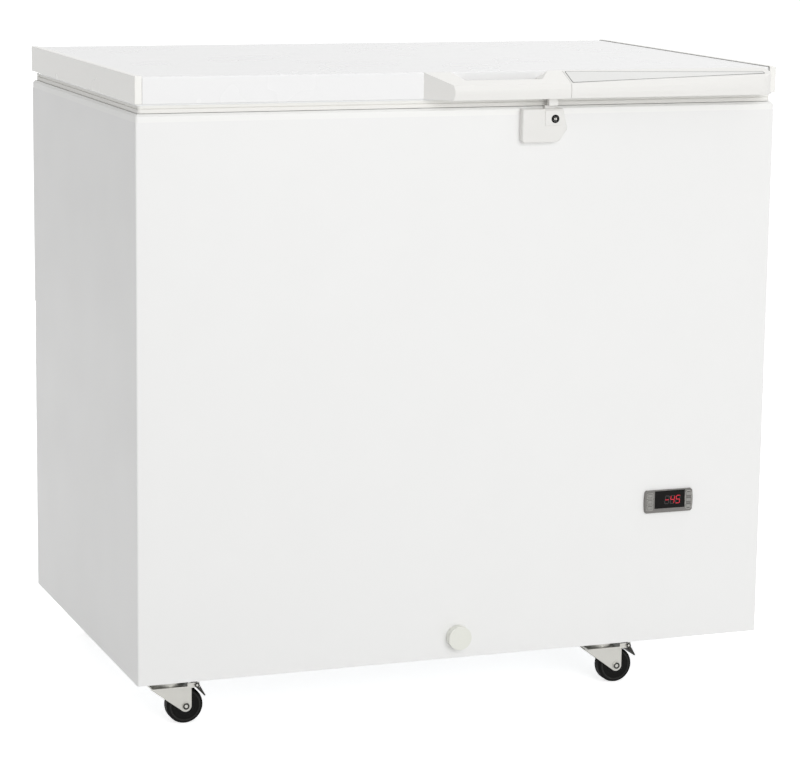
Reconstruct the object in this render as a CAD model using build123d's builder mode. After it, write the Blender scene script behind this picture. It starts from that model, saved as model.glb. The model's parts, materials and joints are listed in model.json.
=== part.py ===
from build123d import *

import os

# Medical chest freezer on casters: a foamed cabinet with a hinged lid, made of separate pieces.
# Millimetres. X runs to the right seen from the front, Y to the back and Z up. The origin is on
# the floor, under the middle of the outline with handle and hinges.

# Cabinet
CABINET_WIDTH = 905.0
CABINET_DEPTH = 565.0
SKIN_HEIGHT = 740.0
CASTER_HEIGHT = 70.0
SHEET = 1.0
RETURN = 12.0
CORNER_BEND = 2.5
WALL = 60.0
FLOOR_WALL = 60.0
LINER = 1.0
LINER_RADIUS = 25.0

# Compressor bay at the lower right, and the step that it makes in the chest
BAY_WIDTH = 215.0
BAY_HEIGHT = 250.0
STEP_WALL = 50.0
PARTITION = 1.0
TRAY = 2.0

# Top frame and lid
FRAME_HEIGHT = 10.5
FRAME_CHAMFER = 3.0
FRAME_CORNER = 4.0
FRAME_LIP = 2.0
FRAME_LIP_DROP = 8.0
SEAL_GAP = 0.6
GASKET_HEIGHT = 9.9
GASKET_WIDTH = 22.0
GASKET_INSET = 4.5
PANEL = 2.0
PANEL_INSET = 3.0
PLUG_CLEARANCE = 12.0
PLUG_DROP = 8.0
LID_HEIGHT = 36.0
CAP_WIDTH = 9.0
CAP_PROUD = 1.0
CAP_GROOVES = (0.3, 1.2)
CAP_SPIGOT = 14.0

# Hinges
HINGE_INSET = 140.0
HINGE_BACK = 12.0
HINGE_RISE = 6.5
PIN_RADIUS = 3.0
EAR_RADIUS = 6.0
EAR = 2.5
BARREL_RADIUS = 5.5
BARREL_LENGTH = 33.0
LEAF = 2.5
LEAF_HEIGHT = 28.0
HINGE_BOX_HEIGHT = 90.0
HINGE_BOX_GAP = 5.0

# Handle along the lid's front
HANDLE_REACH = 35.0
HANDLE_BULGE = 2.0
HANDLE_LENGTH = 498.0
HANDLE_END_INSET = 17.0
GRIP_LENGTH = 196.0
RIDGE_HEIGHT = 20.0
RIDGE_RISE = 7.0
RAMP = 31.0
GAP_TOP = (37.0, 176.0)
GAP_FOOT = (50.0, 159.0)
GAP_FOOT_HEIGHT = 25.0
FINGER_DEPTH = 21.0
END_RADIUS = 20.0
MOULDING_WALL = 3.0

# Lock
LOCK_FROM_SEAM = 12.5
LOCK_DROP = 16.0
LOCK_BOX = (46.5, 18.5)
LOCK_BOX_BELOW = 31.5
LOCK_BOX_ABOVE = 13.5
LOCK_REACH = 11.0
LOCK_WALL = 2.0
BARREL_OUTER = 5.5
BARREL_BACK = 5.0
PLUG_RADIUS = 3.75
CAM_LENGTH = 8.0

# Controller
CONTROL_INSET = 143.5
CONTROL_HEIGHT = 199.0
BEZEL = (74.0, 32.0)
BEZEL_BOW = 1.4
BEZEL_REACH = 3.5
CUTOUT = (71.0, 29.0)
CASE_DEPTH = 55.0
WINDOW = (46.0, 25.0)
WINDOW_LEFT = 15.5
WINDOW_TOP = 1.2
WINDOW_SINK = 0.8
KEY = (7.0, 5.0)
KEY_PITCH = 8.6
KEY_INSET = (8.2, 6.8)
KEY_PROUD = 0.6
KEY_TRAVEL = 0.6

# Drain
DRAIN_OFFSET = 450.0
DRAIN_HEIGHT = 30.0
DRAIN_BORE = 15.0
DRAIN_TUBE = 20.0
DRAIN_FROM_FRONT = 40.0
OUTLET_RADIUS = 13.4
OUTLET_REACH = 8.0
CAP_RADIUS = 16.3
CAP_REACH = 12.0

# Casters
CASTER_INSET_X = 54.0
CASTER_INSET_Y = 52.0
CASTER_BAY_OFFSET = 5.0
PLATE = (66.0, 60.0)
PLATE_THICK = 2.5
PLATE_BOLTS = (50.0, 44.0)
RACE_RADIUS = 24.0
CROWN = (54.0, 54.0)
CROWN_DROP = 13.5
FORK_SHEET = 2.5
TRAIL = 23.0
WHEEL_RADIUS = 25.0
WHEEL_WIDTH = 18.0
TREAD = 14.0
SHOULDER = 1.5
AXLE_RADIUS = 4.0
PEDAL_BACK = 34.0

# Vents and pipes
GRILLE = (150.0, 120.0)
GRILLE_FROM_REAR = 165.0
GRILLE_HEIGHT = 130.0
GRILLE_SLATS = 9
COVER_MARGIN = 20.0
LOUVRES = 8
COIL_TUBE = (8.0, 4.0)
COIL_TURNS = 4
CONDENSER_RUNS = 5

# Clearances
RUNNING = 0.05
SEAT = 0.3
SIDE = 0.5

# Levels, from the floor up
UNDER = CASTER_HEIGHT
PLATE_TOP = UNDER + SHEET
FLOOR = UNDER + 2 * SHEET
SKIN_TOP = UNDER + SKIN_HEIGHT
FRAME_TOP = SKIN_TOP + FRAME_HEIGHT
LID_UNDER = FRAME_TOP + SEAL_GAP + GASKET_HEIGHT + PANEL
LID_TOP = LID_UNDER + LID_HEIGHT
LID_SKIN_TOP = LID_TOP - CAP_PROUD
HINGE_Z = FRAME_TOP + HINGE_RISE

# Faces of the cabinet
LEFT = -CABINET_WIDTH / 2
RIGHT = CABINET_WIDTH / 2
HINGE_REACH = HINGE_BACK + EAR_RADIUS
FRONT = (HANDLE_REACH - HINGE_REACH - CABINET_DEPTH) / 2
REAR = FRONT + CABINET_DEPTH
IN_LEFT = LEFT + SHEET
IN_RIGHT = RIGHT - SHEET
IN_FRONT = FRONT + SHEET
PANEL_FACE = REAR - SHEET
IN_REAR = PANEL_FACE - SHEET
BAY_LEFT = RIGHT - BAY_WIDTH
BAY_TOP = UNDER + BAY_HEIGHT
TRAY_TOP = PLATE_TOP + TRAY
HINGE_Y = REAR + HINGE_BACK

# Chest
CHEST_LEFT = LEFT + WALL
CHEST_RIGHT = RIGHT - WALL
CHEST_FRONT = FRONT + WALL
CHEST_REAR = REAR - WALL
CHEST_FLOOR = UNDER + FLOOR_WALL
STEP_X = BAY_LEFT - STEP_WALL
STEP_Z = BAY_TOP + STEP_WALL

os.makedirs("parts", exist_ok=True)


def save(builder, name):
    """Labels a finished piece and writes its file."""
    builder.part.label = name
    export_step(builder.part, f"parts/{name}.step")


def block(x, y, z, mode=Mode.ADD):
    """Adds or cuts a box that lies between the given bounds on each axis."""
    with Locations(((x[0] + x[1]) / 2, (y[0] + y[1]) / 2, (z[0] + z[1]) / 2)):
        Box(x[1] - x[0], y[1] - y[0], z[1] - z[0], mode=mode)


def rod(start, direction, radius, length, mode=Mode.ADD):
    """Adds or cuts a cylinder from its start point along a direction."""
    with Locations(Plane(origin=start, z_dir=direction)):
        Cylinder(radius, length, align=(Align.CENTER, Align.CENTER, Align.MIN), mode=mode)


def hexagon(start, direction, radius, length):
    """Adds a hexagon head or nut from its start point along a direction."""
    with BuildSketch(Plane(origin=start, z_dir=direction)) as outline:
        RegularPolygon(radius, 6)
    extrude(outline.sketch, amount=length)


def panel(x, y, mode=Mode.ADD):
    """Adds or cuts a rectangle of a sketch that lies between the given bounds."""
    with Locations(((x[0] + x[1]) / 2, (y[0] + y[1]) / 2)):
        Rectangle(x[1] - x[0], y[1] - y[0], mode=mode)


def round_front_corner(builder, corner):
    """Rounds a front corner to fit the bend of the shell: 0 is the left one and -1 the right one."""
    front_edges = builder.edges().filter_by(Axis.Z).group_by(Axis.Y)[0]
    fillet(front_edges.sort_by(Axis.X)[corner], CORNER_BEND - SHEET)


def front_plane(reach):
    """A plane parallel to the cabinet's front, this far in front of it, that faces forwards."""
    return Plane.XZ.offset(reach - FRONT)


def chest_volume(grow):
    """The chest's inside, with its step over the compressor bay, grown by a wall thickness."""
    with BuildPart() as volume:
        with BuildSketch(Plane.XZ.offset(grow - CHEST_FRONT)):
            with BuildLine():
                Polyline(
                    (CHEST_LEFT - grow, CHEST_FLOOR - grow),
                    (STEP_X + grow, CHEST_FLOOR - grow),
                    (STEP_X + grow, STEP_Z - grow),
                    (CHEST_RIGHT + grow, STEP_Z - grow),
                    (CHEST_RIGHT + grow, SKIN_TOP),
                    (CHEST_LEFT - grow, SKIN_TOP),
                    close=True,
                )
            make_face()
        extrude(amount=CHEST_FRONT - CHEST_REAR - 2 * grow)
        fillet(volume.edges().filter_by(Axis.Z), LINER_RADIUS + grow)
    return volume.part


chest_inside = chest_volume(0)
chest_outside = chest_volume(LINER)

# Outer shell: one sheet wrapped round the front and both sides, with folded returns
CONTROL_X = RIGHT - CONTROL_INSET
CONTROL_Z = UNDER + CONTROL_HEIGHT
DRAIN_X = LEFT + DRAIN_OFFSET
DRAIN_Z = UNDER + DRAIN_HEIGHT
GRILLE_Y = REAR - GRILLE_FROM_REAR
GRILLE_Z = UNDER + GRILLE_HEIGHT
GRILLE_SPAN_Y = (GRILLE_Y - GRILLE[0] / 2, GRILLE_Y + GRILLE[0] / 2)
GRILLE_SPAN_Z = (GRILLE_Z - GRILLE[1] / 2, GRILLE_Z + GRILLE[1] / 2)
PAST = 1.0

with BuildPart() as outer_shell:
    with BuildSketch(Plane.XY.offset(UNDER)) as shell_outline:
        panel((LEFT, RIGHT), (FRONT, REAR))
        fillet(shell_outline.vertices().group_by(Axis.Y)[0], CORNER_BEND)
    extrude(amount=SKIN_HEIGHT)
    with BuildSketch(Plane.XY.offset(PLATE_TOP)) as shell_hollow:
        panel((IN_LEFT, IN_RIGHT), (IN_FRONT, PANEL_FACE))
        fillet(shell_hollow.vertices().group_by(Axis.Y)[0], CORNER_BEND - SHEET)
    extrude(amount=SKIN_HEIGHT, mode=Mode.SUBTRACT)
    block(
        (LEFT + RETURN, RIGHT - RETURN),
        (FRONT + RETURN, REAR + PAST),
        (UNDER - PAST, SKIN_TOP + PAST),
        Mode.SUBTRACT,
    )
    with BuildSketch(front_plane(PAST)):
        with Locations((CONTROL_X, CONTROL_Z)):
            Rectangle(*CUTOUT)
        with Locations((DRAIN_X, DRAIN_Z)):
            Circle(DRAIN_BORE / 2)
    extrude(amount=-SHEET - 2 * PAST, mode=Mode.SUBTRACT)
    block((IN_RIGHT - PAST, RIGHT + PAST), GRILLE_SPAN_Y, GRILLE_SPAN_Z, Mode.SUBTRACT)
save(outer_shell, "outer_shell")

# Rear panel, with the opening that the compressor is reached through
COVER_X = (BAY_LEFT + COVER_MARGIN, RIGHT - RETURN - COVER_MARGIN)
COVER_Z = (TRAY_TOP + COVER_MARGIN, BAY_TOP - COVER_MARGIN)

with BuildPart() as rear_panel:
    block((IN_LEFT, IN_RIGHT), (IN_REAR, PANEL_FACE), (PLATE_TOP, SKIN_TOP))
    block(COVER_X, (IN_REAR - PAST, REAR), COVER_Z, Mode.SUBTRACT)
save(rear_panel, "rear_panel")

# Base panel under the foamed part
with BuildPart() as base_panel:
    block((IN_LEFT, BAY_LEFT), (IN_FRONT, IN_REAR), (PLATE_TOP, FLOOR))
    round_front_corner(base_panel, 0)
save(base_panel, "base_panel")

# Top frame: a plastic ring that closes the walls and hooks into the liner
LIP_OUT = SEAT
LIP_IN = SEAT + FRAME_LIP

with BuildPart() as top_frame:
    with BuildSketch(Plane.XY.offset(SKIN_TOP)) as frame_outline:
        panel((LEFT, RIGHT), (FRONT, REAR))
        fillet(frame_outline.vertices(), FRAME_CORNER)
    extrude(amount=FRAME_HEIGHT)
    chamfer(top_frame.faces().sort_by(Axis.Z)[-1].edges(), FRAME_CHAMFER)
    with BuildSketch(Plane.XY.offset(SKIN_TOP - FRAME_LIP_DROP)) as lip_outline:
        panel((CHEST_LEFT + LIP_OUT, CHEST_RIGHT - LIP_OUT), (CHEST_FRONT + LIP_OUT, CHEST_REAR - LIP_OUT))
        fillet(lip_outline.vertices(), LINER_RADIUS - LIP_OUT)
    extrude(amount=FRAME_LIP_DROP)
    with BuildSketch(Plane.XY.offset(SKIN_TOP - FRAME_LIP_DROP)) as frame_opening:
        panel((CHEST_LEFT + LIP_IN, CHEST_RIGHT - LIP_IN), (CHEST_FRONT + LIP_IN, CHEST_REAR - LIP_IN))
        fillet(frame_opening.vertices(), LINER_RADIUS - LIP_IN)
    extrude(amount=FRAME_LIP_DROP + FRAME_HEIGHT, mode=Mode.SUBTRACT)
save(top_frame, "top_frame")

# Inner liner: the chest's own skin, with the drain hole in its floor
DRAIN_Y = CHEST_FRONT + DRAIN_FROM_FRONT

with BuildPart() as inner_liner:
    add(chest_outside)
    add(chest_inside, mode=Mode.SUBTRACT)
    rod((DRAIN_X, DRAIN_Y, CHEST_FLOOR - LINER - PAST), (0, 0, 1), DRAIN_BORE / 2, LINER + 2 * PAST, Mode.SUBTRACT)
save(inner_liner, "inner_liner")

# Evaporator: a flattened tube wound round the upper part of the liner
COIL_OUT = LINER + SEAT + COIL_TUBE[1] / 2
COIL_BASE = STEP_Z + 3 * COIL_OUT
COIL_PITCH = (SKIN_TOP - 3 * COIL_OUT - COIL_BASE) / COIL_TURNS
COIL_X = (CHEST_LEFT - COIL_OUT, CHEST_RIGHT + COIL_OUT)
COIL_Y = (CHEST_FRONT - COIL_OUT, CHEST_REAR + COIL_OUT)
COIL_BEND = LINER_RADIUS + COIL_OUT
COIL_LEVELS = [COIL_BASE + turn * COIL_PITCH for turn in range(COIL_TURNS)]

COIL_HALF = COIL_TUBE[1] / 2
COIL_MIDDLE = (CHEST_LEFT + CHEST_RIGHT) / 2
COIL_GAP = 24.0
RISER_X = (COIL_MIDDLE - COIL_GAP / 2 - COIL_TUBE[0], COIL_MIDDLE + COIL_GAP / 2)

with BuildPart() as evaporator_coil:
    for level in COIL_LEVELS:
        with BuildSketch(Plane.XY.offset(level - COIL_TUBE[0] / 2)) as coil_turn:
            panel((COIL_X[0] - COIL_HALF, COIL_X[1] + COIL_HALF), (COIL_Y[0] - COIL_HALF, COIL_Y[1] + COIL_HALF))
            fillet(coil_turn.vertices(), COIL_BEND + COIL_HALF)
        extrude(amount=COIL_TUBE[0])
    with BuildSketch(Plane.XY.offset(COIL_BASE - COIL_TUBE[0])) as coil_inside:
        panel((COIL_X[0] + COIL_HALF, COIL_X[1] - COIL_HALF), (COIL_Y[0] + COIL_HALF, COIL_Y[1] - COIL_HALF))
        fillet(coil_inside.vertices(), COIL_BEND - COIL_HALF)
    extrude(amount=SKIN_TOP - COIL_BASE, mode=Mode.SUBTRACT)
    block(
        (RISER_X[0] + COIL_TUBE[0], RISER_X[1]),
        (COIL_Y[1] - COIL_OUT, COIL_Y[1] + COIL_OUT),
        (COIL_BASE - COIL_TUBE[0], SKIN_TOP),
        Mode.SUBTRACT,
    )
    for turn in range(COIL_TURNS - 1):
        riser_left = RISER_X[(turn + 1) % 2]
        block(
            (riser_left, riser_left + COIL_TUBE[0]),
            (COIL_Y[1] - COIL_HALF, COIL_Y[1] + COIL_HALF),
            (COIL_LEVELS[turn], COIL_LEVELS[turn + 1]),
        )
save(evaporator_coil, "evaporator_coil")

# Condenser: a flattened tube laid in runs against the inside of the rear panel
CONDENSER_Y = IN_REAR - SEAT - COIL_TUBE[1] / 2
CONDENSER_X = (IN_LEFT + WALL, BAY_LEFT - WALL)
CONDENSER_Z = (UNDER + WALL, SKIN_TOP - WALL)
CONDENSER_PITCH = (CONDENSER_Z[1] - CONDENSER_Z[0]) / (CONDENSER_RUNS - 1)
CONDENSER_BEND = CONDENSER_PITCH / 4

condenser_points = []
for run in range(CONDENSER_RUNS):
    ends = CONDENSER_X if run % 2 == 0 else CONDENSER_X[::-1]
    condenser_points += [(x, CONDENSER_Y, CONDENSER_Z[0] + run * CONDENSER_PITCH) for x in ends]

with BuildPart() as condenser_coil:
    with BuildLine() as condenser_path:
        FilletPolyline(*condenser_points, radius=CONDENSER_BEND)
    with BuildSketch(Plane(origin=condenser_path.line @ 0, x_dir=(0, 0, 1), z_dir=condenser_path.line % 0)):
        Rectangle(*COIL_TUBE)
    sweep(path=condenser_path.line)
save(condenser_coil, "condenser_coil")

# Drain tube, from the chest's floor down and out to the front
with BuildPart() as drain_tube:
    with BuildLine() as drain_path:
        Polyline(
            (DRAIN_X, DRAIN_Y, CHEST_FLOOR - LINER),
            (DRAIN_X, DRAIN_Y, DRAIN_Z),
            (DRAIN_X, IN_FRONT, DRAIN_Z),
        )
    with BuildSketch(Plane(origin=drain_path.line @ 0, z_dir=drain_path.line % 0)):
        Circle(DRAIN_TUBE / 2)
        Circle(DRAIN_BORE / 2, mode=Mode.SUBTRACT)
    sweep(path=drain_path.line, transition=Transition.RIGHT)
save(drain_tube, "drain_tube")

# Foam that fills the walls, with the channels that its tubes lie in
GROOVE = COIL_TUBE[0] / 2 + SEAT
CHANNEL = DRAIN_TUBE / 2 + SEAT

with BuildPart() as insulation:
    block((IN_LEFT, IN_RIGHT), (IN_FRONT, IN_REAR), (FLOOR, SKIN_TOP))
    round_front_corner(insulation, 0)
    round_front_corner(insulation, -1)
    block((BAY_LEFT, IN_RIGHT + PAST), (FRONT, REAR), (UNDER, BAY_TOP), Mode.SUBTRACT)
    add(chest_outside, mode=Mode.SUBTRACT)
    for level in COIL_LEVELS:
        with BuildSketch(Plane.XY.offset(level - GROOVE)) as groove_ring:
            panel((COIL_X[0] - GROOVE, COIL_X[1] + GROOVE), (COIL_Y[0] - GROOVE, COIL_Y[1] + GROOVE))
        extrude(amount=2 * GROOVE, mode=Mode.SUBTRACT)
    block(
        (RISER_X[0] - SEAT, RISER_X[1] + COIL_TUBE[0] + SEAT),
        (CHEST_REAR, COIL_Y[1] + GROOVE),
        (COIL_LEVELS[0] - GROOVE, COIL_LEVELS[-1] + GROOVE),
        Mode.SUBTRACT,
    )
    for run in range(CONDENSER_RUNS):
        run_level = CONDENSER_Z[0] + run * CONDENSER_PITCH
        block(
            (CONDENSER_X[0] - GROOVE, CONDENSER_X[1] + GROOVE),
            (CONDENSER_Y - GROOVE, IN_REAR),
            (run_level - GROOVE, run_level + GROOVE),
            Mode.SUBTRACT,
        )
    for run in range(CONDENSER_RUNS - 1):
        side = CONDENSER_X[1] if run % 2 == 0 else CONDENSER_X[0]
        inner_side = side - CONDENSER_BEND if run % 2 == 0 else side + CONDENSER_BEND
        outer_side = side + GROOVE if run % 2 == 0 else side - GROOVE
        run_level = CONDENSER_Z[0] + run * CONDENSER_PITCH
        block(
            tuple(sorted((inner_side, outer_side))),
            (CONDENSER_Y - GROOVE, IN_REAR),
            (run_level, run_level + CONDENSER_PITCH),
            Mode.SUBTRACT,
        )
    block(
        (DRAIN_X - CHANNEL, DRAIN_X + CHANNEL),
        (IN_FRONT, DRAIN_Y + CHANNEL),
        (DRAIN_Z - CHANNEL, DRAIN_Z + CHANNEL),
        Mode.SUBTRACT,
    )
    block(
        (DRAIN_X - CHANNEL, DRAIN_X + CHANNEL),
        (DRAIN_Y - CHANNEL - DRAIN_TUBE / 2, DRAIN_Y + CHANNEL),
        (DRAIN_Z, CHEST_FLOOR),
        Mode.SUBTRACT,
    )
save(insulation, "insulation")

# Drain outlet on the front, and the cap pushed over it
with BuildPart() as drain_outlet:
    with BuildSketch(front_plane(0)):
        with Locations((DRAIN_X, DRAIN_Z)):
            Circle(OUTLET_RADIUS)
            Circle(DRAIN_BORE / 2, mode=Mode.SUBTRACT)
    extrude(amount=OUTLET_REACH)
save(drain_outlet, "drain_outlet")

with BuildPart() as drain_cap:
    with BuildSketch(front_plane(SEAT)):
        with Locations((DRAIN_X, DRAIN_Z)):
            Circle(CAP_RADIUS)
    extrude(amount=CAP_REACH - SEAT)
    with BuildSketch(front_plane(0)):
        with Locations((DRAIN_X, DRAIN_Z)):
            Circle(OUTLET_RADIUS + 2 * RUNNING)
    extrude(amount=OUTLET_REACH + SEAT, mode=Mode.SUBTRACT)
save(drain_cap, "drain_cap")

# Rubber plug in the chest's floor
FLOOR_PLUG_RADIUS = DRAIN_BORE / 2 - 2 * RUNNING

with BuildPart() as floor_plug:
    with BuildSketch(Plane.XZ.offset(-DRAIN_Y)):
        with BuildLine():
            Polyline(
                (DRAIN_X, CHEST_FLOOR - LINER - 8.0),
                (DRAIN_X + FLOOR_PLUG_RADIUS, CHEST_FLOOR - LINER - 8.0),
                (DRAIN_X + FLOOR_PLUG_RADIUS, CHEST_FLOOR + SEAT),
                (DRAIN_X + DRAIN_BORE * 0.8, CHEST_FLOOR + SEAT),
                (DRAIN_X + DRAIN_BORE * 0.8, CHEST_FLOOR + 3.0),
                (DRAIN_X + 3.0, CHEST_FLOOR + 3.0),
                (DRAIN_X + 3.0, CHEST_FLOOR + 9.0),
                (DRAIN_X + 5.0, CHEST_FLOOR + 9.0),
                (DRAIN_X + 5.0, CHEST_FLOOR + 14.0),
                (DRAIN_X, CHEST_FLOOR + 14.0),
                close=True,
            )
        make_face()
    revolve(axis=Axis((DRAIN_X, DRAIN_Y, 0), (0, 0, 1)))
save(floor_plug, "floor_plug")

# Partition: the bent sheet between the foam and the compressor bay, with three square pipe holes
COMPRESSOR_FROM_REAR = 150.0
COMPRESSOR_X = (BAY_LEFT + RIGHT) / 2 + 4.0
COMPRESSOR_Y = REAR - COMPRESSOR_FROM_REAR
COMPRESSOR_RADIUS = 68.0
PIPE_RADIUS = 3.0
PIPE_HOLE = 2 * (PIPE_RADIUS + SEAT)
PIPE_ROW = 120.0
PIPE_ROW_Y = COMPRESSOR_Y - PIPE_ROW
STUB_OFFSET = 45.0
DRIER_OFFSET = 75.0
SUCTION_AT = (COMPRESSOR_X - STUB_OFFSET, PIPE_ROW_Y)
DISCHARGE_AT = (COMPRESSOR_X, PIPE_ROW_Y)
LIQUID_AT = (COMPRESSOR_X + DRIER_OFFSET, PIPE_ROW_Y)

with BuildPart() as bay_partition:
    block((BAY_LEFT, IN_RIGHT), (IN_FRONT, IN_REAR), (BAY_TOP - PARTITION, BAY_TOP))
    round_front_corner(bay_partition, -1)
    block((BAY_LEFT, BAY_LEFT + PARTITION), (IN_FRONT, IN_REAR), (TRAY_TOP, BAY_TOP))
    for place in (SUCTION_AT, DISCHARGE_AT, LIQUID_AT):
        block(
            (place[0] - PIPE_HOLE / 2, place[0] + PIPE_HOLE / 2),
            (place[1] - PIPE_HOLE / 2, place[1] + PIPE_HOLE / 2),
            (BAY_TOP - PARTITION - PAST, BAY_TOP + PAST),
            Mode.SUBTRACT,
        )
save(bay_partition, "bay_partition")

# Compressor tray, with vent slots under the compressor
FOOT_SPAN = (150.0, 96.0)
STUD_RADIUS = 3.0

with BuildPart() as compressor_tray:
    block((BAY_LEFT, IN_RIGHT), (IN_FRONT, IN_REAR), (PLATE_TOP, TRAY_TOP))
    round_front_corner(compressor_tray, -1)
    with BuildSketch(Plane.XY.offset(PLATE_TOP)):
        with Locations((COMPRESSOR_X, COMPRESSOR_Y)):
            with GridLocations(24.0, 0, 4, 1):
                Rectangle(8.0, 70.0)
    extrude(amount=TRAY, mode=Mode.SUBTRACT)
save(compressor_tray, "compressor_tray")

# Rubber feet with their studs, one under each corner of the compressor
FOOT_HEIGHT = 12.0
FOOT_PLATE = 3.0
COMPRESSOR_BASE = TRAY_TOP + FOOT_HEIGHT

with BuildPart() as compressor_mounts:
    with BuildSketch(Plane.XY.offset(TRAY_TOP)):
        with Locations((COMPRESSOR_X, COMPRESSOR_Y)):
            with GridLocations(*FOOT_SPAN, 2, 2):
                Circle(9.0)
    extrude(amount=FOOT_HEIGHT)
    with BuildSketch(Plane.XY.offset(COMPRESSOR_BASE)):
        with Locations((COMPRESSOR_X, COMPRESSOR_Y)):
            with GridLocations(*FOOT_SPAN, 2, 2):
                RegularPolygon(STUD_RADIUS, 6)
    extrude(amount=FOOT_PLATE + 7.0)
save(compressor_mounts, "compressor_mounts")

# Compressor: two pressed shells with a weld rim, on a foot plate
SHELL_FOOT = COMPRESSOR_BASE + FOOT_PLATE
LOWER_SHELL = 88.0
UPPER_SHELL = 70.0
SHELL_RIM = SHELL_FOOT + LOWER_SHELL
SHELL_TOP = SHELL_RIM + UPPER_SHELL
WELD_RIM = 4.0
PAD_REACH = 8.0
STUB_RISE = 20.0
STUB_Z = SHELL_RIM + STUB_RISE

with BuildPart() as compressor:
    with BuildSketch(Plane.XZ.offset(-COMPRESSOR_Y)):
        with BuildLine():
            Polyline(
                (COMPRESSOR_X, SHELL_FOOT),
                (COMPRESSOR_X + COMPRESSOR_RADIUS, SHELL_FOOT),
                (COMPRESSOR_X + COMPRESSOR_RADIUS, SHELL_RIM),
                (COMPRESSOR_X + COMPRESSOR_RADIUS + WELD_RIM, SHELL_RIM),
                (COMPRESSOR_X + COMPRESSOR_RADIUS + WELD_RIM, SHELL_RIM + WELD_RIM),
                (COMPRESSOR_X + COMPRESSOR_RADIUS, SHELL_RIM + WELD_RIM),
                (COMPRESSOR_X + COMPRESSOR_RADIUS, SHELL_TOP - UPPER_SHELL * 0.5),
                (COMPRESSOR_X + COMPRESSOR_RADIUS * 0.6, SHELL_TOP),
                (COMPRESSOR_X, SHELL_TOP),
                close=True,
            )
        make_face()
    revolve(axis=Axis((COMPRESSOR_X, COMPRESSOR_Y, 0), (0, 0, 1)))
    with BuildSketch(Plane.XY.offset(COMPRESSOR_BASE)):
        with Locations((COMPRESSOR_X, COMPRESSOR_Y)):
            Rectangle(FOOT_SPAN[0] + 22.0, FOOT_SPAN[1] + 22.0)
            with GridLocations(*FOOT_SPAN, 2, 2):
                Rectangle(2 * STUD_RADIUS + SEAT, 2 * STUD_RADIUS + SEAT, mode=Mode.SUBTRACT)
    extrude(amount=FOOT_PLATE)
    block(
        (COMPRESSOR_X - 20.0, COMPRESSOR_X + 20.0),
        (COMPRESSOR_Y - COMPRESSOR_RADIUS - PAD_REACH, COMPRESSOR_Y),
        (SHELL_FOOT + 35.0, SHELL_FOOT + 75.0),
    )
    for side in (-1, 1):
        rod(
            (COMPRESSOR_X + side * STUB_OFFSET, COMPRESSOR_Y, STUB_Z),
            (0, -1, 0),
            PIPE_RADIUS + 1.5,
            COMPRESSOR_RADIUS,
        )
save(compressor, "compressor")

# Terminal box on the compressor's flat pad
with BuildPart() as terminal_box:
    block(
        (COMPRESSOR_X - 30.0, COMPRESSOR_X + 30.0),
        (COMPRESSOR_Y - COMPRESSOR_RADIUS - PAD_REACH - 38.0, COMPRESSOR_Y - COMPRESSOR_RADIUS - PAD_REACH),
        (SHELL_FOOT + 28.0, SHELL_FOOT + 82.0),
    )
    chamfer(terminal_box.edges().filter_by(Axis.Y), 5.0)
save(terminal_box, "terminal_box")

# Filter drier, upright under the liquid line
DRIER_TOP = BAY_TOP - 60.0
DRIER_LENGTH = 90.0

with BuildPart() as filter_drier:
    with BuildSketch(Plane.XZ.offset(-LIQUID_AT[1])):
        with BuildLine():
            Polyline(
                (LIQUID_AT[0], DRIER_TOP),
                (LIQUID_AT[0] + PIPE_RADIUS + 1.0, DRIER_TOP),
                (LIQUID_AT[0] + PIPE_RADIUS + 1.0, DRIER_TOP - 12.0),
                (LIQUID_AT[0] + 9.5, DRIER_TOP - 12.0),
                (LIQUID_AT[0] + 9.5, DRIER_TOP - DRIER_LENGTH),
                (LIQUID_AT[0], DRIER_TOP - DRIER_LENGTH),
                close=True,
            )
        make_face()
    revolve(axis=Axis((*LIQUID_AT, 0), (0, 0, 1)))
save(filter_drier, "filter_drier")

# Copper pipes: suction and discharge to the compressor, liquid line to the drier
STUB_FACE_Y = COMPRESSOR_Y - COMPRESSOR_RADIUS


def pipe_to_stub(place, side):
    """Path of a pipe from a hole in the bay's ceiling to one of the compressor's stubs."""
    stub_x = COMPRESSOR_X + side * STUB_OFFSET
    return [
        (*place, BAY_TOP),
        (*place, BAY_TOP - 34.0),
        (stub_x, place[1] + 12.0, STUB_Z),
        (stub_x, STUB_FACE_Y, STUB_Z),
    ]


pipe_routes = [
    pipe_to_stub(SUCTION_AT, -1),
    pipe_to_stub(DISCHARGE_AT, 1),
    [(*LIQUID_AT, BAY_TOP), (*LIQUID_AT, DRIER_TOP)],
]

with BuildPart() as refrigerant_pipes:
    for route in pipe_routes:
        with BuildLine() as pipe_path:
            if len(route) == 2:
                Line(*route)
            else:
                Polyline(*route)
        with BuildSketch(Plane(origin=pipe_path.line @ 0, z_dir=pipe_path.line % 0)):
            Circle(PIPE_RADIUS)
        sweep(path=pipe_path.line, transition=Transition.RIGHT)
save(refrigerant_pipes, "refrigerant_pipes")

# Rear cover over the compressor bay: a plate with pressed louvres
COVER_LAP = 10.0
COVER_SHEET = 1.2
COVER_OUT = PANEL_FACE + COVER_SHEET
LOUVRE_LENGTH = 58.0
LOUVRE_HEIGHT = 6.0
LOUVRE_REACH = 4.5
LOUVRE_PITCH = (COVER_Z[1] - COVER_Z[0] - 2 * COVER_LAP) / LOUVRES
GLAND_X = COVER_X[1] - 22.0
GLAND_Z = COVER_Z[0] + 12.0
GLAND_RADIUS = 8.0
COVER_MIDDLE = (COVER_X[0] + COVER_X[1]) / 2

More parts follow.
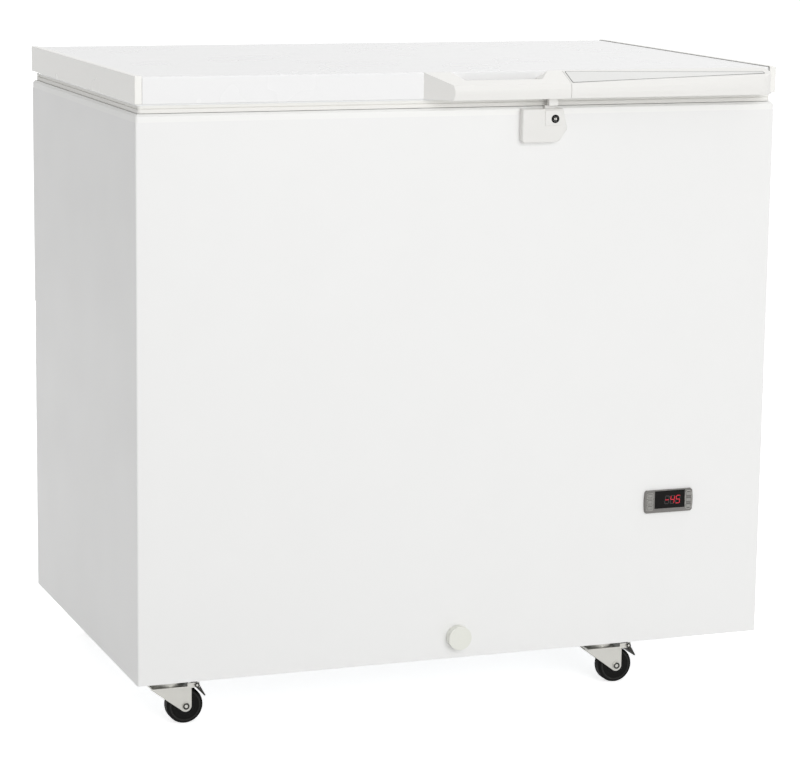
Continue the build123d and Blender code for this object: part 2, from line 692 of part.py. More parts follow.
with BuildPart() as rear_cover:
    block(
        (COVER_X[0] - COVER_LAP, COVER_X[1] + COVER_LAP),
        (PANEL_FACE, COVER_OUT),
        (COVER_Z[0] - COVER_LAP, COVER_Z[1] + COVER_LAP),
    )
    for column in (-1, 1):
        louvre_start = COVER_MIDDLE + column * (LOUVRE_LENGTH / 2 + 6.0) - LOUVRE_LENGTH / 2
        for row in range(1, LOUVRES):
            louvre_z = COVER_Z[0] + 2 * COVER_LAP + row * LOUVRE_PITCH
            louvre_foot = louvre_z - LOUVRE_HEIGHT
            with BuildSketch(Plane.YZ.offset(louvre_start)):
                Polygon(
                    (COVER_OUT - COVER_SHEET / 2, louvre_z),
                    (COVER_OUT - COVER_SHEET / 2, louvre_foot),
                    (COVER_OUT + LOUVRE_REACH, louvre_foot),
                    (COVER_OUT + LOUVRE_REACH, louvre_foot + 1.5),
                    align=None,
                )
            extrude(amount=LOUVRE_LENGTH)
            with BuildSketch(Plane.YZ.offset(louvre_start + COVER_SHEET)):
                Polygon(
                    (PANEL_FACE - PAST, louvre_z - 0.4),
                    (COVER_OUT + LOUVRE_REACH - COVER_SHEET, louvre_foot + 1.0),
                    (COVER_OUT + LOUVRE_REACH - COVER_SHEET, louvre_foot - 0.4),
                    (PANEL_FACE - PAST, louvre_foot - 0.4),
                    align=None,
                )
            extrude(amount=LOUVRE_LENGTH - 2 * COVER_SHEET, mode=Mode.SUBTRACT)
    rod((GLAND_X, PANEL_FACE - PAST, GLAND_Z), (0, 1, 0), GLAND_RADIUS, COVER_SHEET + 2 * PAST, Mode.SUBTRACT)
save(rear_cover, "rear_cover")

# Gland that the mains lead leaves through
with BuildPart() as cord_gland:
    rod((GLAND_X, PANEL_FACE - 6.0, GLAND_Z), (0, 1, 0), GLAND_RADIUS - RUNNING, 6.0 + COVER_SHEET)
    hexagon((GLAND_X, COVER_OUT, GLAND_Z), (0, 1, 0), GLAND_RADIUS + 3.0, 5.0)
    rod((GLAND_X, PANEL_FACE - 7.0, GLAND_Z), (0, 1, 0), 3.6, 16.0, Mode.SUBTRACT)
save(cord_gland, "cord_gland")

# Grille in the right side: a plastic frame with sloping slats
GRILLE_LAP = 6.0
GRILLE_DEPTH = 9.0
GRILLE_RIM = 3.0
SLAT_PITCH = (GRILLE[1] - 2 * GRILLE_RIM) / GRILLE_SLATS
GRILLE_IN = RIGHT - GRILLE_DEPTH

with BuildPart() as side_grille:
    block(
        (RIGHT, RIGHT + CAP_PROUD),
        (GRILLE_SPAN_Y[0] - GRILLE_LAP, GRILLE_SPAN_Y[1] + GRILLE_LAP),
        (GRILLE_SPAN_Z[0] - GRILLE_LAP, GRILLE_SPAN_Z[1] + GRILLE_LAP),
    )
    block(
        (GRILLE_IN, RIGHT),
        (GRILLE_SPAN_Y[0] + SEAT, GRILLE_SPAN_Y[1] - SEAT),
        (GRILLE_SPAN_Z[0] + SEAT, GRILLE_SPAN_Z[1] - SEAT),
    )
    block(
        (GRILLE_IN - PAST, RIGHT + 2 * CAP_PROUD),
        (GRILLE_SPAN_Y[0] + GRILLE_RIM, GRILLE_SPAN_Y[1] - GRILLE_RIM),
        (GRILLE_SPAN_Z[0] + GRILLE_RIM, GRILLE_SPAN_Z[1] - GRILLE_RIM),
        Mode.SUBTRACT,
    )
    with BuildSketch(Plane.XZ.offset(-GRILLE_SPAN_Y[0] - GRILLE_RIM)):
        with Locations((0, GRILLE_Z)):
            with GridLocations(0, SLAT_PITCH, 1, GRILLE_SLATS):
                Polygon(
                    (GRILLE_IN, SLAT_PITCH * 0.3),
                    (GRILLE_IN, SLAT_PITCH * 0.3 + 1.6),
                    (RIGHT, -SLAT_PITCH * 0.3 + 1.6),
                    (RIGHT, -SLAT_PITCH * 0.3),
                    align=None,
                )
    extrude(amount=-GRILLE[0] + 2 * GRILLE_RIM)
    block(
        (GRILLE_IN, GRILLE_IN + 3.0),
        (GRILLE_Y - 1.5, GRILLE_Y + 1.5),
        (GRILLE_SPAN_Z[0] + GRILLE_RIM, GRILLE_SPAN_Z[1] - GRILLE_RIM),
    )
save(side_grille, "side_grille")

# Controller: bezel with bowed ends, dark window, case behind the front, and six keys
BEZEL_X = (CONTROL_X - BEZEL[0] / 2, CONTROL_X + BEZEL[0] / 2)
BEZEL_Z = (CONTROL_Z - BEZEL[1] / 2, CONTROL_Z + BEZEL[1] / 2)
WINDOW_X = (BEZEL_X[0] + WINDOW_LEFT, BEZEL_X[0] + WINDOW_LEFT + WINDOW[0])
WINDOW_Z = (BEZEL_Z[1] - WINDOW_TOP - WINDOW[1], BEZEL_Z[1] - WINDOW_TOP)
KEY_COLUMNS = {"left": BEZEL_X[0] + KEY_INSET[0], "right": BEZEL_X[1] - KEY_INSET[1]}
KEY_ROWS = {"upper": KEY_PITCH, "middle": 0.0, "lower": -KEY_PITCH}

with BuildPart() as controller_bezel:
    with BuildSketch(front_plane(0)) as bezel_outline:
        with BuildLine():
            lower = Line((BEZEL_X[0] + BEZEL_BOW, BEZEL_Z[0]), (BEZEL_X[1] - BEZEL_BOW, BEZEL_Z[0]))
            right_end = ThreePointArc(
                lower @ 1, (BEZEL_X[1], CONTROL_Z), (BEZEL_X[1] - BEZEL_BOW, BEZEL_Z[1])
            )
            upper = Line(right_end @ 1, (BEZEL_X[0] + BEZEL_BOW, BEZEL_Z[1]))
            ThreePointArc(upper @ 1, (BEZEL_X[0], CONTROL_Z), lower @ 0)
        make_face()
        chamfer(bezel_outline.vertices(), 2.0)
    extrude(amount=BEZEL_REACH)
    chamfer(controller_bezel.faces().sort_by(Axis.Y)[0].edges(), 0.6)
    with BuildSketch(front_plane(0)):
        panel(WINDOW_X, WINDOW_Z)
        for key_x in KEY_COLUMNS.values():
            for rise in KEY_ROWS.values():
                with Locations((key_x, CONTROL_Z + rise)):
                    Rectangle(KEY[0] + 2 * SEAT, KEY[1] + 2 * SEAT)
    extrude(amount=BEZEL_REACH, mode=Mode.SUBTRACT)
save(controller_bezel, "controller_bezel")

with BuildPart() as controller_window:
    with BuildSketch(front_plane(0)):
        panel(WINDOW_X, WINDOW_Z)
    extrude(amount=BEZEL_REACH - WINDOW_SINK)
save(controller_window, "controller_window")

with BuildPart() as controller_case:
    with BuildSketch(front_plane(0)):
        with Locations((CONTROL_X, CONTROL_Z)):
            Rectangle(CUTOUT[0] - 2 * SEAT, CUTOUT[1] - 2 * SEAT)
    extrude(amount=-CASE_DEPTH)
save(controller_case, "controller_case")

for column_name, key_x in KEY_COLUMNS.items():
    for row_name, rise in KEY_ROWS.items():
        with BuildPart() as key:
            with BuildSketch(front_plane(KEY_TRAVEL + SEAT)):
                with Locations((key_x, CONTROL_Z + rise)):
                    Rectangle(*KEY)
            extrude(amount=BEZEL_REACH + KEY_PROUD - KEY_TRAVEL - SEAT)
            chamfer(key.faces().sort_by(Axis.Y)[0].edges(), 0.4)
        save(key, f"key_{column_name}_{row_name}")

# Lock housing: a hollow moulding over the top of the front, open at its back and slotted above
LOCK_X = RIGHT - HANDLE_END_INSET - HANDLE_LENGTH + GRIP_LENGTH - LOCK_FROM_SEAM
LOCK_Z = FRAME_TOP - LOCK_DROP
LOCK_SPAN_X = (LOCK_X - LOCK_BOX[0], LOCK_X + LOCK_BOX[1])
LOCK_SPAN_Z = (LOCK_Z - LOCK_BOX_BELOW, LOCK_Z + LOCK_BOX_ABOVE)
LOCK_SHOULDER = (12.0, 14.0)
LOCK_FOOT = 6.0
LOCK_PAD = (14.5, 9.0)
LOCK_PAD_PROUD = 1.2
HOOK_X = (LOCK_X - 12.0, LOCK_X - 8.8, LOCK_X - 4.8)
HOOK_TAB_X = (LOCK_X - 8.0, LOCK_X + 5.0)
HOOK_REACH = (1.2, 3.8)
SLOT_REACH = 5.8

housing_corners = [
    (LOCK_SPAN_X[0], LOCK_SPAN_Z[0]),
    (LOCK_X + LOCK_FOOT, LOCK_SPAN_Z[0]),
    (LOCK_SPAN_X[1], LOCK_Z - LOCK_SHOULDER[1]),
    (LOCK_X + LOCK_SHOULDER[0], LOCK_SPAN_Z[1]),
    (LOCK_SPAN_X[0], LOCK_SPAN_Z[1]),
]

with BuildPart() as lock_housing:
    with BuildSketch(front_plane(0)) as housing_outline:
        Polygon(*housing_corners, align=None)
        chamfer(housing_outline.vertices().group_by(Axis.Y)[0], 3.0)
    extrude(amount=LOCK_REACH)
    chamfer(lock_housing.faces().sort_by(Axis.Y)[0].edges(), 1.2)
    with BuildSketch(front_plane(0)):
        Polygon(*housing_corners, align=None)
        offset(amount=-LOCK_WALL)
    extrude(amount=LOCK_REACH - LOCK_WALL, mode=Mode.SUBTRACT)
    with BuildSketch(front_plane(LOCK_REACH - LOCK_WALL)):
        panel(
            (LOCK_X - LOCK_PAD[0], LOCK_X + LOCK_PAD[1]),
            (LOCK_Z - LOCK_PAD[1], LOCK_SPAN_Z[1] - LOCK_WALL),
        )
    extrude(amount=LOCK_WALL + LOCK_PAD_PROUD)
    block(
        (HOOK_X[0] - 1.0, HOOK_TAB_X[1] + 1.0),
        (FRONT - SLOT_REACH, FRONT + PAST),
        (LOCK_SPAN_Z[1] - LOCK_WALL - PAST, LOCK_SPAN_Z[1] + PAST),
        Mode.SUBTRACT,
    )
    rod(
        (LOCK_X, FRONT, LOCK_Z), (0, -1, 0), BARREL_OUTER + RUNNING, LOCK_REACH + 2 * PAST, Mode.SUBTRACT
    )
save(lock_housing, "lock_housing")

LOCK_FACE = LOCK_REACH + LOCK_PAD_PROUD

with BuildPart() as lock_barrel:
    with BuildSketch(front_plane(BARREL_BACK)):
        with Locations((LOCK_X, LOCK_Z)):
            Circle(BARREL_OUTER)
            Circle(PLUG_RADIUS + RUNNING, mode=Mode.SUBTRACT)
    extrude(amount=LOCK_FACE - BARREL_BACK)
    with BuildSketch(front_plane(BARREL_BACK)):
        with Locations((LOCK_X, LOCK_Z)):
            Circle(BARREL_OUTER + 2.0)
            Circle(PLUG_RADIUS + RUNNING, mode=Mode.SUBTRACT)
    extrude(amount=LOCK_REACH - LOCK_WALL - BARREL_BACK)
save(lock_barrel, "lock_barrel")

# Lock plug with its key slot and the cam that swings over the lid's hook
with BuildPart() as lock_plug:
    with BuildSketch(front_plane(1.4)):
        with Locations((LOCK_X, LOCK_Z)):
            Circle(PLUG_RADIUS)
    extrude(amount=LOCK_FACE - 1.4 + 0.4)
    with BuildSketch(front_plane(1.4)):
        with Locations((LOCK_X, LOCK_Z + CAM_LENGTH / 2)):
            Rectangle(3.2, CAM_LENGTH)
    extrude(amount=2.2)
    with BuildSketch(front_plane(LOCK_FACE - 2.5)):
        with Locations((LOCK_X, LOCK_Z)):
            Rectangle(1.0, 4.6)
    extrude(amount=4.0, mode=Mode.SUBTRACT)
save(lock_plug, "lock_plug")

# Lid skin: a folded sheet, open at both ends
LID_X = (LEFT + CAP_WIDTH + CAP_GROOVES[0], RIGHT - CAP_WIDTH - CAP_GROOVES[1])

with BuildPart() as lid_skin:
    block(LID_X, (FRONT, REAR), (LID_UNDER, LID_SKIN_TOP))
    fillet(lid_skin.edges().filter_by(Axis.X).group_by(Axis.Z)[-1], 1.5)
    block(
        (LID_X[0] - PAST, LID_X[1] + PAST),
        (IN_FRONT, REAR - SHEET),
        (LID_UNDER + SHEET, LID_SKIN_TOP - SHEET),
        Mode.SUBTRACT,
    )
    block(
        (LID_X[0] - PAST, LID_X[1] + PAST),
        (FRONT + RETURN, REAR - RETURN),
        (LID_UNDER - PAST, LID_UNDER + 2 * SHEET),
        Mode.SUBTRACT,
    )
save(lid_skin, "lid_skin")

# End caps, with a spigot inside each end of the folded sheet
SPIGOT_Y = (IN_FRONT + SEAT, REAR - SHEET - SEAT)
SPIGOT_Z = (LID_UNDER + SHEET + SEAT, LID_SKIN_TOP - SHEET - SEAT)
SPIGOT_END = CAP_WIDTH + CAP_GROOVES[1] + CAP_SPIGOT

for end_name, face, way in (("left", LEFT, 1), ("right", RIGHT, -1)):
    with BuildPart() as lid_cap:
        block(
            tuple(sorted((face - way * CAP_PROUD, face + way * CAP_WIDTH))),
            (FRONT - CAP_PROUD, REAR + CAP_PROUD),
            (LID_UNDER, LID_TOP),
        )
        chamfer(lid_cap.edges(), 0.8)
        block(tuple(sorted((face + way * CAP_WIDTH / 2, face + way * SPIGOT_END))), SPIGOT_Y, SPIGOT_Z)
    save(lid_cap, f"lid_cap_{end_name}")

# Lid liner: a formed panel whose middle drops into the chest's mouth
PANEL_Z = LID_UNDER - PANEL
PLUG_Z = FRAME_TOP - PLUG_DROP
PLUG_OFF = LIP_IN + PLUG_CLEARANCE
PLUG_X = (CHEST_LEFT + PLUG_OFF, CHEST_RIGHT - PLUG_OFF)
PLUG_Y = (CHEST_FRONT + PLUG_OFF, CHEST_REAR - PLUG_OFF)

with BuildPart() as lid_liner:
    with BuildSketch(Plane.XY.offset(PLUG_Z)) as plug_outline:
        panel(PLUG_X, PLUG_Y)
        fillet(plug_outline.vertices(), LINER_RADIUS)
    extrude(amount=LID_UNDER - PLUG_Z)
    block(
        (LEFT + PANEL_INSET, RIGHT - PANEL_INSET),
        (FRONT + PANEL_INSET, REAR - PANEL_INSET),
        (PANEL_Z, LID_UNDER),
    )
    with BuildSketch(Plane.XY.offset(PLUG_Z + PANEL)) as plug_hollow:
        panel((PLUG_X[0] + PANEL, PLUG_X[1] - PANEL), (PLUG_Y[0] + PANEL, PLUG_Y[1] - PANEL))
        fillet(plug_hollow.vertices(), LINER_RADIUS - PANEL)
    extrude(amount=LID_UNDER - PLUG_Z, mode=Mode.SUBTRACT)
save(lid_liner, "lid_liner")

# Lid foam
with BuildPart() as lid_foam:
    block(
        (LEFT + SPIGOT_END, RIGHT - SPIGOT_END),
        (IN_FRONT, REAR - SHEET),
        (LID_UNDER + SHEET, LID_SKIN_TOP - SHEET),
    )
    block(
        (LEFT + SPIGOT_END, RIGHT - SPIGOT_END),
        (FRONT + RETURN, REAR - RETURN),
        (LID_UNDER, LID_UNDER + SHEET),
    )
    with BuildSketch(Plane.XY.offset(PLUG_Z + PANEL)) as foam_plug:
        panel((PLUG_X[0] + PANEL, PLUG_X[1] - PANEL), (PLUG_Y[0] + PANEL, PLUG_Y[1] - PANEL))
        fillet(foam_plug.vertices(), LINER_RADIUS - PANEL)
    extrude(amount=LID_UNDER - PLUG_Z - PANEL)
save(lid_foam, "lid_foam")

# Gasket: the soft seal round the lid's underside
GASKET_NECK = 3.0

with BuildPart() as gasket:
    with BuildSketch(Plane.XY.offset(FRAME_TOP + SEAL_GAP)) as gasket_outline:
        panel((LEFT + GASKET_INSET, RIGHT - GASKET_INSET), (FRONT + GASKET_INSET, REAR - GASKET_INSET))
        fillet(gasket_outline.vertices(), 5.0)
        GASKET_IN = GASKET_INSET + GASKET_WIDTH
        panel((LEFT + GASKET_IN, RIGHT - GASKET_IN), (FRONT + GASKET_IN, REAR - GASKET_IN), Mode.SUBTRACT)
    extrude(amount=GASKET_HEIGHT)
    with BuildSketch(Plane.XY.offset(FRAME_TOP + SEAL_GAP + 5.0)) as gasket_groove:
        panel((LEFT, RIGHT), (FRONT, REAR))
        GROOVE_IN = GASKET_INSET + 1.5
        panel((LEFT + GROOVE_IN, RIGHT - GROOVE_IN), (FRONT + GROOVE_IN, REAR - GROOVE_IN), Mode.SUBTRACT)
    extrude(amount=1.2, mode=Mode.SUBTRACT)
save(gasket, "gasket")

# Handle: the grip with its finger gap, then the cover that carries on to the right
HANDLE_RIGHT = RIGHT - HANDLE_END_INSET
HANDLE_LEFT = HANDLE_RIGHT - HANDLE_LENGTH
SEAM_X = HANDLE_LEFT + GRIP_LENGTH
SEAM_GAP = 0.5
RIDGE_Z = LID_UNDER + RIDGE_HEIGHT


def handle_section(ridge_z):
    """Draws the handle's section: sloping top, slightly bowed front, flat underside and back."""
    bow = ridge_z - LID_UNDER
    with BuildLine() as outline:
        Polyline(
            (FRONT - HANDLE_REACH + HANDLE_BULGE, ridge_z),
            (FRONT, LID_SKIN_TOP),
            (FRONT, LID_UNDER),
            (FRONT - HANDLE_REACH + HANDLE_BULGE, LID_UNDER),
            (FRONT - HANDLE_REACH, LID_UNDER + bow * 0.35),
            (FRONT - HANDLE_REACH, LID_UNDER + bow * 0.65),
            close=True,
        )
    return outline.line


with BuildPart() as handle_grip:
    with BuildSketch(Plane.YZ.offset(HANDLE_LEFT)):
        with BuildLine():
            add(handle_section(RIDGE_Z))
        make_face()
    extrude(amount=GRIP_LENGTH - SEAM_GAP / 2)
    fillet(handle_grip.edges().filter_by(Axis.X).sort_by(Axis.Y)[:2].sort_by(Axis.Z)[-1], 2.0)
    with BuildSketch(Plane.XY.offset(LID_UNDER)) as grip_plan:
        with BuildLine():
            Polyline(
                (HANDLE_LEFT, FRONT),
                (HANDLE_LEFT + RAMP, FRONT - HANDLE_REACH),
                (SEAM_X, FRONT - HANDLE_REACH),
                (SEAM_X, FRONT),
                close=True,
            )
        make_face()
    extrude(amount=LID_HEIGHT, mode=Mode.INTERSECT)
    with BuildSketch(front_plane(0)):
        with BuildLine():
            Polyline(
                (HANDLE_LEFT + GAP_TOP[0] - 3.0, LID_SKIN_TOP + 2.5),
                (HANDLE_LEFT + GAP_FOOT[0], LID_UNDER + GAP_FOOT_HEIGHT),
                (HANDLE_LEFT + GAP_FOOT[0], LID_UNDER - PAST),
                (HANDLE_LEFT + GAP_FOOT[1], LID_UNDER - PAST),
                (HANDLE_LEFT + GAP_FOOT[1], LID_UNDER + GAP_FOOT_HEIGHT),
                (HANDLE_LEFT + GAP_TOP[1] + 4.0, LID_SKIN_TOP + 2.5),
                close=True,
            )
        make_face()
    extrude(amount=FINGER_DEPTH, mode=Mode.SUBTRACT)
save(handle_grip, "handle_grip")

COVER_POCKETS = 3
POCKET_START = SEAM_X + 2 * MOULDING_WALL
POCKET_END = HANDLE_RIGHT - END_RADIUS
POCKET_STEP = (POCKET_END - POCKET_START) / COVER_POCKETS

with BuildPart() as handle_cover:
    with BuildSketch(Plane.YZ.offset(SEAM_X + SEAM_GAP / 2)):
        with BuildLine():
            add(handle_section(RIDGE_Z))
        make_face()
    with BuildSketch(Plane.YZ.offset(HANDLE_RIGHT)):
        with BuildLine():
            add(handle_section(RIDGE_Z + RIDGE_RISE))
        make_face()
    loft()
    with BuildSketch(Plane.XY.offset(LID_UNDER)) as cover_plan:
        with BuildLine():
            side = Polyline(
                (HANDLE_RIGHT, FRONT - HANDLE_REACH + END_RADIUS),
                (HANDLE_RIGHT, FRONT),
                (SEAM_X, FRONT),
                (SEAM_X, FRONT - HANDLE_REACH),
                (HANDLE_RIGHT - END_RADIUS, FRONT - HANDLE_REACH),
            )
            TangentArc(side @ 1, side @ 0, tangent=(1, 0))
        make_face()
    extrude(amount=LID_HEIGHT, mode=Mode.INTERSECT)
    for pocket in range(COVER_POCKETS):
        with BuildSketch(Plane.YZ.offset(POCKET_START + pocket * POCKET_STEP)):
            with BuildLine():
                Polyline(
                    (FRONT - MOULDING_WALL, LID_UNDER - PAST),
                    (FRONT - MOULDING_WALL, LID_SKIN_TOP - 2 * MOULDING_WALL),
                    (FRONT - HANDLE_REACH + 2 * MOULDING_WALL, RIDGE_Z - MOULDING_WALL),
                    (FRONT - HANDLE_REACH + 2 * MOULDING_WALL, LID_UNDER - PAST),
                    close=True,
                )
            make_face()
        extrude(amount=POCKET_STEP - MOULDING_WALL, mode=Mode.SUBTRACT)
save(handle_cover, "handle_cover")

# Hook under the handle, that the lock's cam swings over
HOOK_TAB = 11.0
HOOK_Y = (FRONT - HOOK_REACH[1], FRONT - HOOK_REACH[0])
HOOK_SHOULDER = LOCK_Z + CAM_LENGTH + 1.5
HOOK_TOE = (LOCK_Z - 5.5, LOCK_Z - 2.2)

with BuildPart() as lock_hook:
    block(HOOK_TAB_X, (FRONT - 9.0, HOOK_Y[1]), (LID_UNDER - HOOK_TAB, LID_UNDER))
    block((HOOK_X[0], HOOK_TAB_X[1]), HOOK_Y, (HOOK_SHOULDER, LID_UNDER - HOOK_TAB))
    block((HOOK_X[0], HOOK_X[1]), HOOK_Y, (HOOK_TOE[0], HOOK_SHOULDER))
    block((HOOK_X[1], HOOK_X[2]), HOOK_Y, HOOK_TOE)
save(lock_hook, "lock_hook")

# Hinges: ears on the cabinet's back, a pin through them, and a leaf on the lid
HINGE_PLACES = (LEFT + HINGE_INSET, RIGHT - HINGE_INSET)
HINGE_BOX_Z = (SKIN_TOP - HINGE_BOX_GAP - HINGE_BOX_HEIGHT, SKIN_TOP - HINGE_BOX_GAP)
EAR_IN = BARREL_LENGTH / 2 + SIDE

with BuildPart() as hinge_bases:
    for hinge_x in HINGE_PLACES:
        block(
            (hinge_x - EAR_IN - EAR, hinge_x + EAR_IN + EAR),
            (PANEL_FACE, PANEL_FACE + EAR),
            HINGE_BOX_Z,
        )
        for ear_x in (hinge_x - EAR_IN - EAR, hinge_x + EAR_IN):
            with BuildSketch(Plane.YZ.offset(ear_x)):
                with BuildLine():
                    Polyline(
                        (PANEL_FACE, HINGE_BOX_Z[0]),
                        (PANEL_FACE + EAR + 3.0, HINGE_BOX_Z[0]),
                        (HINGE_Y + EAR_RADIUS, HINGE_Z - 40.0),
                        (HINGE_Y + EAR_RADIUS, HINGE_Z),
                        (HINGE_Y - EAR_RADIUS, HINGE_Z),
                        (PANEL_FACE + EAR, HINGE_BOX_Z[1]),
                        (PANEL_FACE, HINGE_BOX_Z[1]),
                        close=True,
                    )
                make_face()
                with Locations((HINGE_Y, HINGE_Z)):
                    Circle(EAR_RADIUS)
                    Circle(PIN_RADIUS + RUNNING, mode=Mode.SUBTRACT)
            extrude(amount=EAR)
save(hinge_bases, "hinge_bases")

with BuildPart() as hinge_pins:
    for hinge_x in HINGE_PLACES:
        rod((hinge_x - EAR_IN - EAR - 1.0, HINGE_Y, HINGE_Z), (1, 0, 0), PIN_RADIUS, 2 * (EAR_IN + EAR) + 2.0)
        hexagon((hinge_x + EAR_IN + EAR, HINGE_Y, HINGE_Z), (1, 0, 0), PIN_RADIUS + 1.8, 2.0)
save(hinge_pins, "hinge_pins")

with BuildPart() as hinge_leaves:
    for hinge_x in HINGE_PLACES:
        leaf_x = (hinge_x - BARREL_LENGTH / 2, hinge_x + BARREL_LENGTH / 2)
        rod((leaf_x[0], HINGE_Y, HINGE_Z), (1, 0, 0), BARREL_RADIUS, BARREL_LENGTH)
        block(leaf_x, (REAR, HINGE_Y), (HINGE_Z + BARREL_RADIUS - LEAF, HINGE_Z + BARREL_RADIUS))
        block(leaf_x, (REAR, REAR + LEAF), (HINGE_Z + BARREL_RADIUS - LEAF, LID_UNDER + LEAF_HEIGHT))
        rod((leaf_x[0], HINGE_Y, HINGE_Z), (1, 0, 0), PIN_RADIUS + RUNNING, BARREL_LENGTH, Mode.SUBTRACT)
save(hinge_leaves, "hinge_leaves")

# Screws of the rear: hinge boxes and compressor cover
SCREW_RADIUS = 4.0
SCREW_HEAD = 2.0
hinge_screw_y = PANEL_FACE + EAR
cover_screws = [
    (x, COVER_OUT, z)
    for x in (COVER_X[0] - COVER_LAP / 2, COVER_X[1] + COVER_LAP / 2)
    for z in (COVER_Z[0] - COVER_LAP / 2, COVER_Z[1] + COVER_LAP / 2)
]
hinge_screws = [(x, hinge_screw_y, HINGE_BOX_Z[0] + rise) for x in HINGE_PLACES for rise in (22.0, 50.0)]

with BuildPart() as rear_screws:
    for place in cover_screws + hinge_screws:
        hexagon(place, (0, 1, 0), SCREW_RADIUS, SCREW_HEAD)
save(rear_screws, "rear_screws")

# Casters: plate and upper race on the cabinet, fork that swivels, wheel, and a brake on the front pair
CASTER_X = {"left": LEFT + CASTER_INSET_X, "right": BAY_LEFT - CASTER_BAY_OFFSET}
CASTER_Y = {"front": FRONT + CASTER_INSET_Y, "rear": REAR - CASTER_INSET_Y}
CASTERS = {f"{y_name}_{x_name}": (x, y) for y_name, y in CASTER_Y.items() for x_name, x in CASTER_X.items()}
PLATE_UNDER = PLATE_TOP - PLATE_THICK
CROWN_TOP = UNDER - CROWN_DROP
CROWN_UNDER = CROWN_TOP - FORK_SHEET
RACE_SPLIT = (PLATE_UNDER + CROWN_TOP) / 2
KINGPIN_RADIUS = 5.0
LEG_IN = WHEEL_WIDTH / 2 + 1.0
LEG_OUT = LEG_IN + FORK_SHEET
WHEEL_Z = WHEEL_RADIUS
LEG_NOSE = 8.0
CROWN_X = CROWN[0] / 2
CROWN_Y = CROWN[1] / 2
BOLT_HEAD = 4.0

with BuildPart() as caster_plates:
    for caster_x, caster_y in CASTERS.values():
        block(
            (caster_x - PLATE[0] / 2, caster_x + PLATE[0] / 2),
            (caster_y - PLATE[1] / 2, caster_y + PLATE[1] / 2),
            (PLATE_UNDER, PLATE_TOP),
        )
        rod((caster_x, caster_y, RACE_SPLIT + SEAT / 2), (0, 0, 1), RACE_RADIUS, PLATE_UNDER - RACE_SPLIT - SEAT / 2)
        rod((caster_x, caster_y, CROWN_UNDER - SEAT), (0, 0, 1), KINGPIN_RADIUS, PLATE_UNDER - CROWN_UNDER + SEAT)
        hexagon((caster_x, caster_y, CROWN_UNDER - SEAT - 2.0), (0, 0, 1), KINGPIN_RADIUS + 3.0, 2.0)
save(caster_plates, "caster_plates")

with BuildPart() as caster_bolts:
    for caster_x, caster_y in CASTERS.values():
        with BuildSketch(Plane.XY.offset(PLATE_UNDER - BOLT_HEAD)):
            with Locations((caster_x, caster_y)):
                with GridLocations(*PLATE_BOLTS, 2, 2):
                    RegularPolygon(5.0, 6)
        extrude(amount=BOLT_HEAD)
save(caster_bolts, "caster_bolts")

